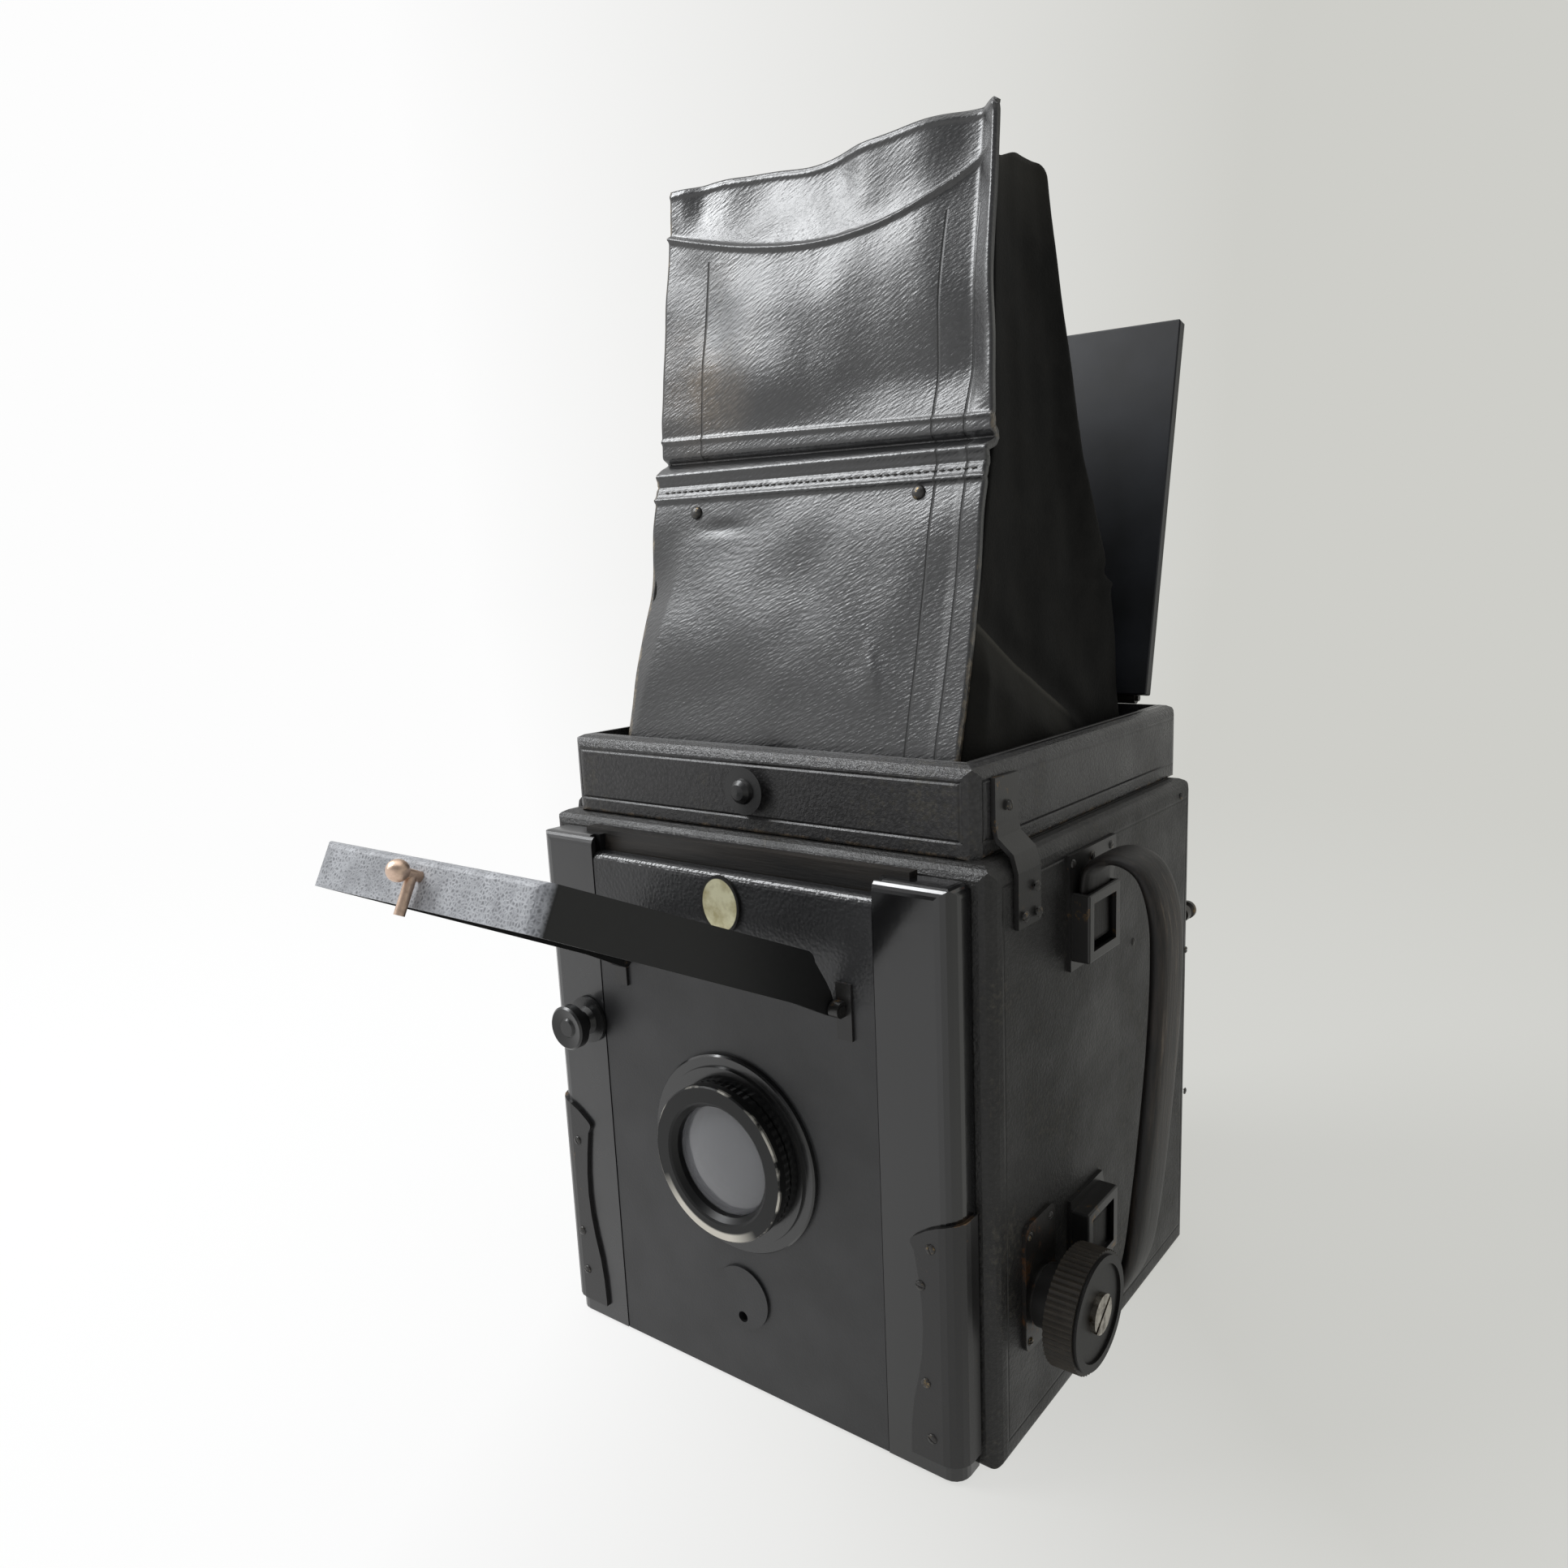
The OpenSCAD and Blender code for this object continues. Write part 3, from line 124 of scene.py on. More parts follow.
# The room's ceiling in front of the object is darker than the backdrop behind it.
tree = sky.node_tree
tree.nodes.clear()
around = add(tree, "TexCoord").outputs["Generated"]
front = add(tree, "VectorMath", {0: around, 1: (0.574, -0.819, 0.0)}, operation="DOT_PRODUCT")
ahead = add(tree, "MapRange", {"Value": front.outputs["Value"], "From Max": 0.6})
high = add(tree, "MapRange", {"Value": add(tree, "SeparateXYZ", {0: around}).outputs[2], "From Min": 0.12,
                              "From Max": 0.5})
both = add(tree, "Math", {0: ahead, 1: high}, operation="MULTIPLY")
room = add(tree, "Mix", {0: both, 6: backdrop_shade(tree, around), 7: linear("8f9092")}, data_type="RGBA")
dim = add(tree, "Background", {"Color": linear("e9edf2"), "Strength": 0.5})
pale = add(tree, "Background", {"Color": room})
mixed = add(tree, "MixShader", {0: sees_backdrop(tree), 1: dim, 2: pale})
add(tree, "OutputWorld", {"Surface": mixed})

# The cloth is matt cotton. It keeps the object's shadow and fades into the backdrop far away.
cotton = bpy.data.materials.new("backdrop_cotton")
cotton.use_nodes = True
tree = cotton.node_tree
shader = tree.nodes["Principled BSDF"]
shader.inputs["Base Color"].default_value = linear("f2f1ee")
shader.inputs["Roughness"].default_value = 0.95
shader.inputs["Specular IOR Level"].default_value = 0.1
place = add(tree, "TexCoord").outputs["Object"]
reach = add(tree, "VectorMath", {0: place}, operation="LENGTH").outputs["Value"]
wide = add(tree, "Math", {0: reach, 1: 0.25}, operation="ADD")
way = add(tree, "VectorMath", {0: place, 1: wide}, operation="DIVIDE")
fade = add(tree, "MapRange", {"Value": reach, "From Min": 0.16, "From Max": 1.1, "To Min": 0.85},
           interpolation_type="SMOOTHSTEP")
part = add(tree, "Math", {0: fade, 1: sees_backdrop(tree)}, operation="MULTIPLY")
# Painted light: the glow is painted white on the window's side of the cloth and grey on the other, a painted
# shading of the window's light.
glow = add(tree, "Emission", {"Color": backdrop_shade(tree, way)})
mixed = add(tree, "MixShader", {0: part, 1: shader, 2: glow})
tree.links.new(mixed.outputs[0], tree.nodes["Material Output"].inputs["Surface"])

bm = bmesh.new()
bmesh.ops.create_circle(bm, cap_ends=True, radius=9, segments=96)
mesh = bpy.data.meshes.new("floor")
bm.to_mesh(mesh)
bm.free()
mesh.materials.append(cotton)
mesh.transform(Matrix.Translation((0, 0, -0.0003)))
floor = bpy.data.objects.new("floor", mesh)
scene.collection.objects.link(floor)


def area_light(name, place, target, width, height, power, colour):
    lamp = bpy.data.lights.new(name, "AREA")
    lamp.shape = "RECTANGLE"
    lamp.size = width
    lamp.size_y = height
    lamp.energy = power
    lamp.color = linear(colour)[:3]
    stand = bpy.data.objects.new(name, lamp)
    stand.location = place
    stand.rotation_euler = (Vector(target) - Vector(place)).to_track_quat("-Z", "Y").to_euler()
    scene.collection.objects.link(stand)


area_light("window", (-1.04, -0.72, 1.40), (0, 0, 0.2), 0.6, 0.85, 26, "fbfdff")
area_light("ceiling", (0.1, 0.1, 1.9), (0, 0, 0.2), 1.6, 1.6, 9, "ffffff")


# Body covering. Thin grained goatskin is glued over the mahogany boards and pressed down at
# the edges, with a line tooled into it along them. Age has rubbed it brown at the edges.
def new_finish(name, colour, roughness, metallic=0.0, specular=0.5, coat=0.0):
    finish = bpy.data.materials.new(name)
    finish.use_nodes = True
    tree = finish.node_tree
    shader = tree.nodes["Principled BSDF"]
    shader.inputs["Base Color"].default_value = linear(colour)
    shader.inputs["Roughness"].default_value = roughness
    shader.inputs["Metallic"].default_value = metallic
    shader.inputs["Specular IOR Level"].default_value = specular
    shader.inputs["Coat Weight"].default_value = coat
    shader.inputs["Coat Roughness"].default_value = 0.12
    return finish, tree, shader, add(tree, "TexCoord").outputs["Object"]


def edge_of_box(tree, place, low, high, width):
    """For a box given in mm: how far past its nearest edge, in m and negative inside, and a
    mask that is 1 on the edges and falls to 0 at a distance of width."""
    middle = [(a + b) / 2000 for a, b in zip(low, high)]
    half = [(b - a) / 2000 for a, b in zip(low, high)]
    moved = add(tree, "VectorMath", {0: place, 1: middle}, operation="SUBTRACT")
    folded = add(tree, "VectorMath", {0: moved}, operation="ABSOLUTE")
    inner = add(tree, "VectorMath", {0: folded, 1: half}, operation="SUBTRACT")
    axis = add(tree, "SeparateXYZ", {0: inner}).outputs
    small = add(tree, "Math", {0: axis[0], 1: axis[1]}, operation="MINIMUM").outputs[0]
    large = add(tree, "Math", {0: axis[0], 1: axis[1]}, operation="MAXIMUM").outputs[0]
    other = add(tree, "Math", {0: large, 1: axis[2]}, operation="MINIMUM").outputs[0]
    second = add(tree, "Math", {0: small, 1: other}, operation="MAXIMUM").outputs[0]
    return second, add(tree, "MapRange", {"Value": second, "From Min": -width / 1000, "From Max": 0.0},
                       interpolation_type="SMOOTHSTEP").outputs[0]


def goatskin(name, colour, low, high, grain=0.95, tooled=None, roughness=0.46, wear_and_sheen="6b5a44"):
    """Black grained leather on a box: pebbles of grain mm, a tooled line, rubbed brown edges."""
    finish, tree, shader, place = new_finish(name, colour, roughness, specular=0.36)
    warp = add(tree, "TexNoise", {"Vector": place, "Scale": 300.0})
    bent = add(tree, "VectorMath", {0: warp.outputs["Color"], 1: (0.0007, 0.0007, 0.0007), 2: place},
               operation="MULTIPLY_ADD")
    pebble = add(tree, "TexVoronoi", {"Vector": bent, "Scale": 1000 / grain}, feature="SMOOTH_F1")
    pore = add(tree, "TexNoise", {"Vector": place, "Scale": 2600.0})
    soft = add(tree, "TexNoise", {"Vector": place, "Scale": 42.0, "Detail": 4.0, "Roughness": 0.6})
    edge, near = edge_of_box(tree, place, low, high, 5)
    rub = add(tree, "TexNoise", {"Vector": place, "Scale": 150.0, "Detail": 6.0, "Roughness": 0.75})
    rubbed = add(tree, "Math", {0: near, 1: rub}, operation="MULTIPLY")
    bare_and_highlight = add(tree, "ValToRGB", {0: rubbed}, stops=[(0.44, 0.0), (0.62, 1.0)])
    scuff = add(tree, "TexNoise", {"Vector": place, "Scale": 620.0, "Detail": 3.0, "Roughness": 0.7})
    speck = add(tree, "Math", {0: soft, 1: scuff}, operation="MULTIPLY")
    dust = add(tree, "ValToRGB", {0: speck}, stops=[(0.31, 0.0), (0.42, 0.5)])
    shade = add(tree, "Mix", {0: dust, 6: linear(colour), 7: linear("4b473d")}, data_type="RGBA")
    tint = add(tree, "Mix", {0: bare_and_highlight, 6: shade, 7: linear(wear_and_sheen)}, data_type="RGBA")
    grey = add(tree, "MapRange", {"Value": pebble, "From Max": 0.7, "To Min": 1.15, "To Max": 0.55})
    add(tree, "Mix", {0: 1.0, 6: tint, 7: grey}, data_type="RGBA", blend_type="MULTIPLY",
        feeds=shader.inputs["Base Color"])
    gloss = add(tree, "MapRange", {"Value": soft, "From Min": 0.3, "From Max": 0.7,
                                   "To Min": roughness - 0.1, "To Max": roughness + 0.12})
    add(tree, "Math", {0: near, 1: -0.1, 2: gloss}, operation="MULTIPLY_ADD",
        feeds=shader.inputs["Roughness"])
    height = add(tree, "Math", {0: pebble, 1: -1.0, 2: pore}, operation="MULTIPLY_ADD").outputs[0]
    if tooled:
        off = add(tree, "Math", {0: edge, 1: tooled / 1000}, operation="ADD")
        far = add(tree, "Math", {0: off}, operation="ABSOLUTE")
        line = add(tree, "MapRange", {"Value": far, "From Max": 0.0006, "To Min": 1.0, "To Max": 0.0})
        height = add(tree, "Math", {0: line, 1: -4.0, 2: height}, operation="MULTIPLY_ADD").outputs[0]
    add(tree, "Bump", {"Strength": 0.6, "Distance": 0.00022, "Height": height},
        feeds=shader.inputs["Normal"])
    return finish


def finish_node(names, finish):
    """Gives a finish to one node, or to several with spaces between their names."""
    for name in names.split():
        mesh = nodes[name].data
        for i in range(len(mesh.materials)):
            mesh.materials[i] = finish


body_skin = goatskin("goatskin_body", "201f1e", (-81.5, -71, 0), (81.5, 71, 172), tooled=6.5)
finish_node("side_board_left side_board_right top_deck base_board", body_skin)


# Inner boards. The bulkhead, the back frame and the frame over the ground glass are mahogany
# stained dead black, so that no light is thrown about inside.
def stained_wood(name, colour, light, roughness=0.6, along=2):
    """Stained and waxed wood: pores and rings drawn out along one axis, 0 for X, 1 for Y, 2 for Z."""
    finish, tree, shader, place = new_finish(name, colour, roughness, specular=0.35)
    scale = [1.0, 1.0, 1.0]
    scale[along] = 0.06
    drawn = add(tree, "Mapping", {"Vector": place, "Scale": scale})
    ring = add(tree, "TexNoise", {"Vector": drawn, "Scale": 260.0, "Detail": 5.0, "Roughness": 0.6,
                                  "Distortion": 0.4})
    pore = add(tree, "TexNoise", {"Vector": drawn, "Scale": 1500.0})
    band = add(tree, "ValToRGB", {0: ring}, stops=[(0.38, 0.0), (0.66, 1.0)])
    add(tree, "Mix", {0: band, 6: linear(colour), 7: linear(light)}, data_type="RGBA",
        feeds=shader.inputs["Base Color"])
    add(tree, "Bump", {"Strength": 0.35, "Distance": 0.0002, "Height": pore}, feeds=shader.inputs["Normal"])
    return finish


black_wood = stained_wood("mahogany_stained_black", "121110", "26211c")
finish_node("front_bulkhead back_frame screen_frame", black_wood)


# Tripod bush. Turned from brass rod, threaded inside and driven into the base; the thread is
# drawn as fine rings.
def brass(name, colour, roughness, stain="3a2c14", cover=0.45, thread=0.0):
    """Bare brass, yellow and warm, with brown tarnish in its hollows and fine turning marks."""
    finish, tree, shader, place = new_finish(name, colour, roughness, metallic=1.0)
    cloud = add(tree, "TexNoise", {"Vector": place, "Scale": 110.0, "Detail": 6.0, "Roughness": 0.7})
    dull = add(tree, "ValToRGB", {0: cloud}, stops=[(cover - 0.12, 1.0), (cover + 0.2, 0.0)])
    add(tree, "Mix", {0: dull, 6: linear(colour), 7: linear(stain)}, data_type="RGBA",
        feeds=shader.inputs["Base Color"])
    add(tree, "MapRange", {"Value": dull, "To Min": roughness, "To Max": roughness + 0.25},
        feeds=shader.inputs["Roughness"])
    if thread:
        # at a scale of 1 the wave's rings stand 314.2 mm apart
        turns = add(tree, "TexWave", {"Vector": place, "Scale": 314.2 / thread}, bands_direction="Z")
        relief = add(tree, "Bump", {"Strength": 0.8, "Distance": 0.0006, "Height": turns.outputs["Color"]})
    else:
        marks = add(tree, "TexNoise", {"Vector": place, "Scale": 2200.0})
        relief = add(tree, "Bump", {"Strength": 0.25, "Distance": 0.00006, "Height": marks})
    tree.links.new(relief.outputs[0], shader.inputs["Normal"])
    return finish


bare_brass = brass("brass_tarnished", "b58a45", 0.32)
finish_node("tripod_bush", brass("brass_threaded", "b08a48", 0.34, thread=1.59))


# Mirror. Silvered on its face and cemented into a sheet metal frame, which is painted black
# and rests on two brass stops.
def gritty(name, colour, roughness, scale, detail, strength=0.3, distance=0.0001):
    """An even finish with a fine grit in it, 1 / scale metres wide."""
    finish, tree, shader, place = new_finish(name, colour, roughness)
    grit = add(tree, "TexNoise", {"Vector": place, "Scale": scale, "Detail": detail})
    add(tree, "Bump", {"Strength": strength, "Distance": distance, "Height": grit},
        feeds=shader.inputs["Normal"])
    return finish, shader


painted, shader = gritty("black_paint_on_steel", "151515", 0.5, 900.0, 3.0)
finish_node("mirror_frame iris_blades", painted)
finish_node("mirror_stops", bare_brass)
silver, tree, shader, place = new_finish("silvered_glass", "cfd4d6", 0.04, metallic=1.0)
age = add(tree, "TexNoise", {"Vector": place, "Scale": 60.0, "Detail": 8.0, "Roughness": 0.8})
add(tree, "ValToRGB", {0: age}, stops=[(0.3, 0.35), (0.36, 0.05)], feeds=shader.inputs["Roughness"])
finish_node("mirror_glass", silver)

# Ground glass. One face is ground with fine emery, which makes it white and blurs what
# shines through.
ground, shader = gritty("ground_glass", "dfe6e2", 0.45, 5000.0, 1.0, distance=0.00005)
shader.inputs["Transmission Weight"].default_value = 0.75
shader.inputs["IOR"].default_value = 1.52
finish_node("ground_glass", ground)

# Roller blind. Black rubbered silk runs between two varnished beech rollers. The weave is
# drawn three times as coarse as it is, so that it shows. The rack guides are beech too.
silk, tree, shader, place = new_finish("rubbered_silk", "111111", 0.62)
thread = add(tree, "TexChecker", {"Vector": place, "Scale": 1600.0})
add(tree, "Bump", {"Strength": 0.3, "Distance": 0.00008, "Height": thread.outputs["Fac"]},
    feeds=shader.inputs["Normal"])
finish_node("shutter_blind", silk)
beech = stained_wood("beech_varnished", "6d4526", "8b5c35", 0.35, along=0)
finish_node("upper_roller lower_roller rack_guides", beech)

# Focusing drive. The racks are cut brass. The shaft is steel, as are its pinions, and ends in
# a broad slotted screw that holds the knob.
finish_node("racks", bare_brass)
steel, tree, shader, place = new_finish("bright_steel", "9a958c", 0.3, metallic=1.0)
stain = add(tree, "TexNoise", {"Vector": place, "Scale": 260.0, "Detail": 6.0, "Roughness": 0.7})
add(tree, "ValToRGB", {0: stain}, stops=[(0.36, linear("4a4034")), (0.56, linear("a9a49a"))],
    feeds=shader.inputs["Base Color"])
lathe = add(tree, "TexNoise", {"Vector": place, "Scale": 2600.0})
add(tree, "Bump", {"Strength": 0.3, "Distance": 0.00006, "Height": lathe}, feeds=shader.inputs["Normal"])
finish_node("focus_shaft", steel)


# Knobs. Turned and knurled ebonite, black when new, which daylight has turned a little brown
# on its raised edges.
def from_centre(tree, place, centre, scale):
    """The offset from a centre, the same scaled along the axes, and the length of that."""
    moved = add(tree, "VectorMath", {0: place, 1: centre}, operation="SUBTRACT")
    scaled = add(tree, "VectorMath", {0: moved, 1: scale}, operation="MULTIPLY")
    return moved, scaled, add(tree, "VectorMath", {0: scaled}, operation="LENGTH").outputs["Value"]


def ebonite(name, centre, radius):
    finish, tree, shader, place = new_finish(name, "141312", 0.45, specular=0.25)
    away = from_centre(tree, place, [c / 1000 for c in centre], (0, 1, 1))[2]
    rim = add(tree, "MapRange", {"Value": away, "From Min": (radius - 1.2) / 1000,
                                 "From Max": radius / 1000})
    cloud = add(tree, "TexNoise", {"Vector": place, "Scale": 240.0, "Detail": 5.0, "Roughness": 0.7})
    faded = add(tree, "Math", {0: rim, 1: cloud}, operation="MULTIPLY")
    add(tree, "Mix", {0: faded, 6: linear("131211"), 7: linear("3f382e")}, data_type="RGBA",
        feeds=shader.inputs["Base Color"])
    fine = add(tree, "TexNoise", {"Vector": place, "Scale": 1800.0, "Detail": 3.0})
    add(tree, "Bump", {"Strength": 0.25, "Distance": 0.0001, "Height": fine}, feeds=shader.inputs["Normal"])
    return finish


finish_node("focus_knob", ebonite("ebonite_focus_knob", (0, -46, 42), 17))
finish_node("winding_knob", ebonite("ebonite_winding_knob", (0, 52, 148), 13))
finish_node("tension_knob", ebonite("ebonite_tension_knob", (0, 52, 24), 9))


# Sheet fittings. Brass sheet, cut and bent, then lacquered black over a chemical black. The
# lacquer is thin, so brown and yellow metal shows through where hands rub.
def black_brass(name, colour="1b1a19", bare_and_highlight="7d6038", amount=0.6, scale=150.0, roughness=0.36, box=None):
    finish, tree, shader, place = new_finish(name, colour, roughness, metallic=0.35)
    cloud = add(tree, "TexNoise", {"Vector": place, "Scale": scale, "Detail": 8.0, "Roughness": 0.72})
    level = cloud.outputs[0]
    if box:
        near = edge_of_box(tree, place, *box)[1]
        level = add(tree, "Math", {0: near, 1: 0.3, 2: level}, operation="MULTIPLY_ADD").outputs[0]
    wear_and_sheen = add(tree, "ValToRGB", {0: level}, stops=[(amount, 0.0), (amount + 0.09, 1.0)])
    add(tree, "Mix", {0: wear_and_sheen, 6: linear(colour), 7: linear(bare_and_highlight)}, data_type="RGBA",
        feeds=shader.inputs["Base Color"])
    add(tree, "MapRange", {"Value": wear_and_sheen, "To Min": 0.06, "To Max": 0.85}, feeds=shader.inputs["Metallic"])
    orange = add(tree, "TexNoise", {"Vector": place, "Scale": 1300.0, "Detail": 3.0})
    high = add(tree, "Math", {0: wear_and_sheen, 1: -0.7, 2: orange}, operation="MULTIPLY_ADD")
    add(tree, "Bump", {"Strength": 0.3, "Distance": 0.0001, "Height": high}, feeds=shader.inputs["Normal"])
    return finish


fitting = black_brass("lacquered_brass_fitting")
finish_node("upper_keeper lower_keeper shutter_plates door_ears box_clips", fitting)
for name in ("back_keepers", "back_catch", "release_lever", "lid_hinge_leaves", "lid_hinge_straps"):
    finish_node(name, black_brass("lacquered_brass_" + name, "211e1a", "6e5a3a", 0.56))
finish_node("lid_button", black_brass("lacquered_brass_button", "181818", "6d5a3c", 0.66))
finish_node("knob_plate", black_brass("lacquered_brass_knob_plate", "1c1a18", "6b4c33", 0.54))
finish_node("corner_plates", black_brass("lacquered_brass_corner", "1d1c1c", "6f5a45", 0.66,
                                         box=((-75.4, -82.2, -20), (75.4, -60, 78.4), 1.2)))

# Back. The reversing back is black stained mahogany, and the plate holder is dark polished
# mahogany with sheaths of pressed black fibre.
finish_node("reversing_back", stained_wood("mahogany_back", "171310", "2b211a", 0.42, along=0))
finish_node("plate_holder", stained_wood("mahogany_polished", "2a1710", "47281a", 0.3, along=0))
fibre, shader = gritty("vulcanised_fibre", "181614", 0.42, 900.0, 4.0)
finish_node("front_slide rear_slide", fibre)


# Front standard. A black stained mahogany plate carries two rails, polished with black
# lacquer that has worn brown along the rounded outer edge, and the lacquered brass knob.
def lacquer(name, colour, roughness, wear_and_sheen, box, amount=0.62, coat=0.4):
    finish, tree, shader, place = new_finish(name, colour, roughness, coat=coat)
    near = edge_of_box(tree, place, *box)[1]
    cloud = add(tree, "TexNoise", {"Vector": place, "Scale": 90.0, "Detail": 8.0, "Roughness": 0.75})
    level = add(tree, "Math", {0: near, 1: cloud}, operation="MULTIPLY")
    bare_and_highlight = add(tree, "ValToRGB", {0: level}, stops=[(amount - 0.12, 0.0), (amount, 1.0)])
    add(tree, "Mix", {0: bare_and_highlight, 6: linear(colour), 7: linear(wear_and_sheen)}, data_type="RGBA",
        feeds=shader.inputs["Base Color"])
    smear = add(tree, "TexNoise", {"Vector": place, "Scale": 55.0, "Detail": 6.0, "Roughness": 0.65})
    add(tree, "MapRange", {"Value": smear, "From Min": 0.3, "From Max": 0.7, "To Min": roughness - 0.05,
                           "To Max": roughness + 0.1}, feeds=shader.inputs["Roughness"])
    ripple = add(tree, "TexNoise", {"Vector": place, "Scale": 260.0, "Detail": 3.0})
    add(tree, "Bump", {"Strength": 0.15, "Distance": 0.0002, "Height": ripple},
        feeds=shader.inputs["Normal"])
    return finish


rail_box = ((-76, -81, 0), (76, -60, 168), 3.5)
finish_node("right_rail", lacquer("black_lacquer_bright", "0c0c0d", 0.16, "5a2a16",
                                  ((-76, -81, -60), (76, -60, 168), 4.5), 0.56))
finish_node("left_rail", lacquer("black_lacquer_dull", "151516", 0.3, "3a2c22", rail_box))
finish_node("front_frame", stained_wood("mahogany_front", "151413", "2c2824", 0.4, along=0))
finish_node("rise_knob", black_brass("lacquered_brass_knob", "161616", "77736b", 0.68, roughness=0.28))

# Lens board. The upper part is covered with the body's leather down to the door's hinge, and
# the rest is rubbed black paint on wood, as is the catch plate.
board, tree, shader, place = new_finish("board_leather_and_paint", "1b1b1b", 0.42)
up = add(tree, "SeparateXYZ", {0: place}).outputs[2]
covered = add(tree, "MapRange", {"Value": up, "From Min": 0.1335, "From Max": 0.1345}).outputs[0]
pebble = add(tree, "TexVoronoi", {"Vector": place, "Scale": 1050.0}, feature="SMOOTH_F1")
fine = add(tree, "TexNoise", {"Vector": place, "Scale": 1700.0, "Detail": 4.0})
rough = add(tree, "Math", {0: covered, 1: pebble}, operation="MULTIPLY")
high = add(tree, "Math", {0: rough, 1: -3.0, 2: fine}, operation="MULTIPLY_ADD")
add(tree, "Bump", {"Strength": 0.5, "Distance": 0.0001, "Height": high}, feeds=shader.inputs["Normal"])
cloud = add(tree, "TexNoise", {"Vector": place, "Scale": 60.0, "Detail": 5.0})
add(tree, "ValToRGB", {0: cloud}, stops=[(0.35, linear("171718")), (0.7, linear("242425"))],
    feeds=shader.inputs["Base Color"])
add(tree, "MapRange", {"Value": up, "From Min": 0.1595, "From Max": 0.1625, "To Min": 0.42, "To Max": 0.22},
    feeds=shader.inputs["Roughness"])
finish_node("lens_panel catch_plate", board)

# Label place. A bare oval of ivory-coloured celluloid in a dark rim, held by two pins.
ivory, tree, shader, place = new_finish("celluloid_ivory", "d8d2ac", 0.4)
away = from_centre(tree, place, (0, 0, 0.154), (1 / 0.0072, 0, 1 / 0.0086))[2]
rim = add(tree, "MapRange", {"Value": away, "From Min": 0.87, "From Max": 0.9})
foxing = add(tree, "TexNoise", {"Vector": place, "Scale": 300.0, "Detail": 5.0})
aged = add(tree, "ValToRGB", {0: foxing}, stops=[(0.3, linear("b3a980")), (0.6, linear("dcd7b4"))])
add(tree, "Mix", {0: rim, 6: aged, 7: linear("1a1917")}, data_type="RGBA",
    feeds=shader.inputs["Base Color"])
finish_node("badge", ivory)

# Lens. Turned brass finished in black enamel, with a thin nickelled edge where the bezel has
# been wiped bright and a broader pale arc along its lower side that is a painted highlight. The
# two uncoated glasses are grey from slight haze and a painted reflection together.
enamel = lacquer("black_enamel", "121212", 0.2, "6b6862", ((-23.7, -89.5, 56.3), (23.7, -83, 103.7), 0.3),
                 0.9)
finish_node("lens_flange aperture_ring", enamel)
bezel, tree, shader, place = new_finish("black_enamel_nickel_edge_and_painted_arc", "101010", 0.4, specular=0.25)
moved, flat, away = from_centre(tree, place, (0, -0.0895, 0.078), (1, 0, 1))
ring = add(tree, "MapRange", {"Value": away, "From Min": 0.0228, "From Max": 0.0233})
ahead = add(tree, "Math", {0: add(tree, "SeparateXYZ", {0: moved}).outputs[1], 1: 0.0011},
            operation="LESS_THAN")
wear = add(tree, "TexNoise", {"Vector": place, "Scale": 160.0, "Detail": 5.0})
level = add(tree, "Math", {0: ring, 1: ahead}, operation="MULTIPLY")
shown = add(tree, "Math", {0: level, 1: wear}, operation="MULTIPLY")
thin = add(tree, "ValToRGB", {0: shown}, stops=[(0.46, 0.0), (0.6, 0.8)])
# Painted highlight: a broader band of pale metal on the bezel's lower side, where light catches it.
unit = add(tree, "VectorMath", {0: flat}, operation="NORMALIZE")
low = add(tree, "VectorMath", {0: unit, 1: (-0.26, 0, -0.966)}, operation="DOT_PRODUCT")
arc = add(tree, "MapRange", {"Value": low.outputs["Value"], "From Min": 0.6, "From Max": 0.9})
broad = add(tree, "MapRange", {"Value": away, "From Min": 0.0208, "From Max": 0.0214})
painted_arc_highlight = add(tree, "Math", {0: arc, 1: broad}, operation="MULTIPLY")
bare_and_highlight = add(tree, "Math", {0: painted_arc_highlight, 1: thin}, operation="MAXIMUM")
add(tree, "Mix", {0: bare_and_highlight, 6: linear("101010"), 7: linear("c4c0b6")}, data_type="RGBA",
    feeds=shader.inputs["Base Color"])
tree.links.new(bare_and_highlight.outputs[0], shader.inputs["Metallic"])
finish_node("lens_barrel", bezel)
# The grey base colour makes the glass pale: slight haze and a painted reflection together.
glass, tree, shader, place = new_finish("crown_glass_hazy_and_painted_reflection", "a5a5a8", 0.1)
shader.inputs["Transmission Weight"].default_value = 0.72
shader.inputs["IOR"].default_value = 1.52
haze = add(tree, "TexNoise", {"Vector": place, "Scale": 120.0, "Detail": 6.0})
add(tree, "MapRange", {"Value": haze, "To Min": 0.04, "To Max": 0.22}, feeds=shader.inputs["Roughness"])
finish_node("front_element rear_element", glass)

# Lens door. A shallow tray of thin sheet, painted black. Its free end, which faces the light,
# is painted pale silvery grey with a fine crazed speckle: crazed paint and a painted sheen
# together. Its latch is a bare brass rod with a ball and a hook.
tray, tree, shader, place = new_finish("crazed_paint_and_painted_sheen", "1a1a1a", 0.42, specular=0.3)
door_hinge, door_way = (0, -0.0832, 0.1316), (0, -0.8910, 0.4540)
hinge = add(tree, "VectorMath", {0: place, 1: door_hinge}, operation="SUBTRACT")
far = add(tree, "VectorMath", {0: hinge, 1: door_way}, operation="DOT_PRODUCT")
end = add(tree, "MapRange", {"Value": far.outputs["Value"], "From Min": 0.1020,
                             "From Max": 0.1034}).outputs[0]
craze = add(tree, "TexVoronoi", {"Vector": place, "Scale": 1100.0}, feature="DISTANCE_TO_EDGE")
crack = add(tree, "ValToRGB", {0: craze}, stops=[(0.05, 1.0), (0.42, 0.0)])
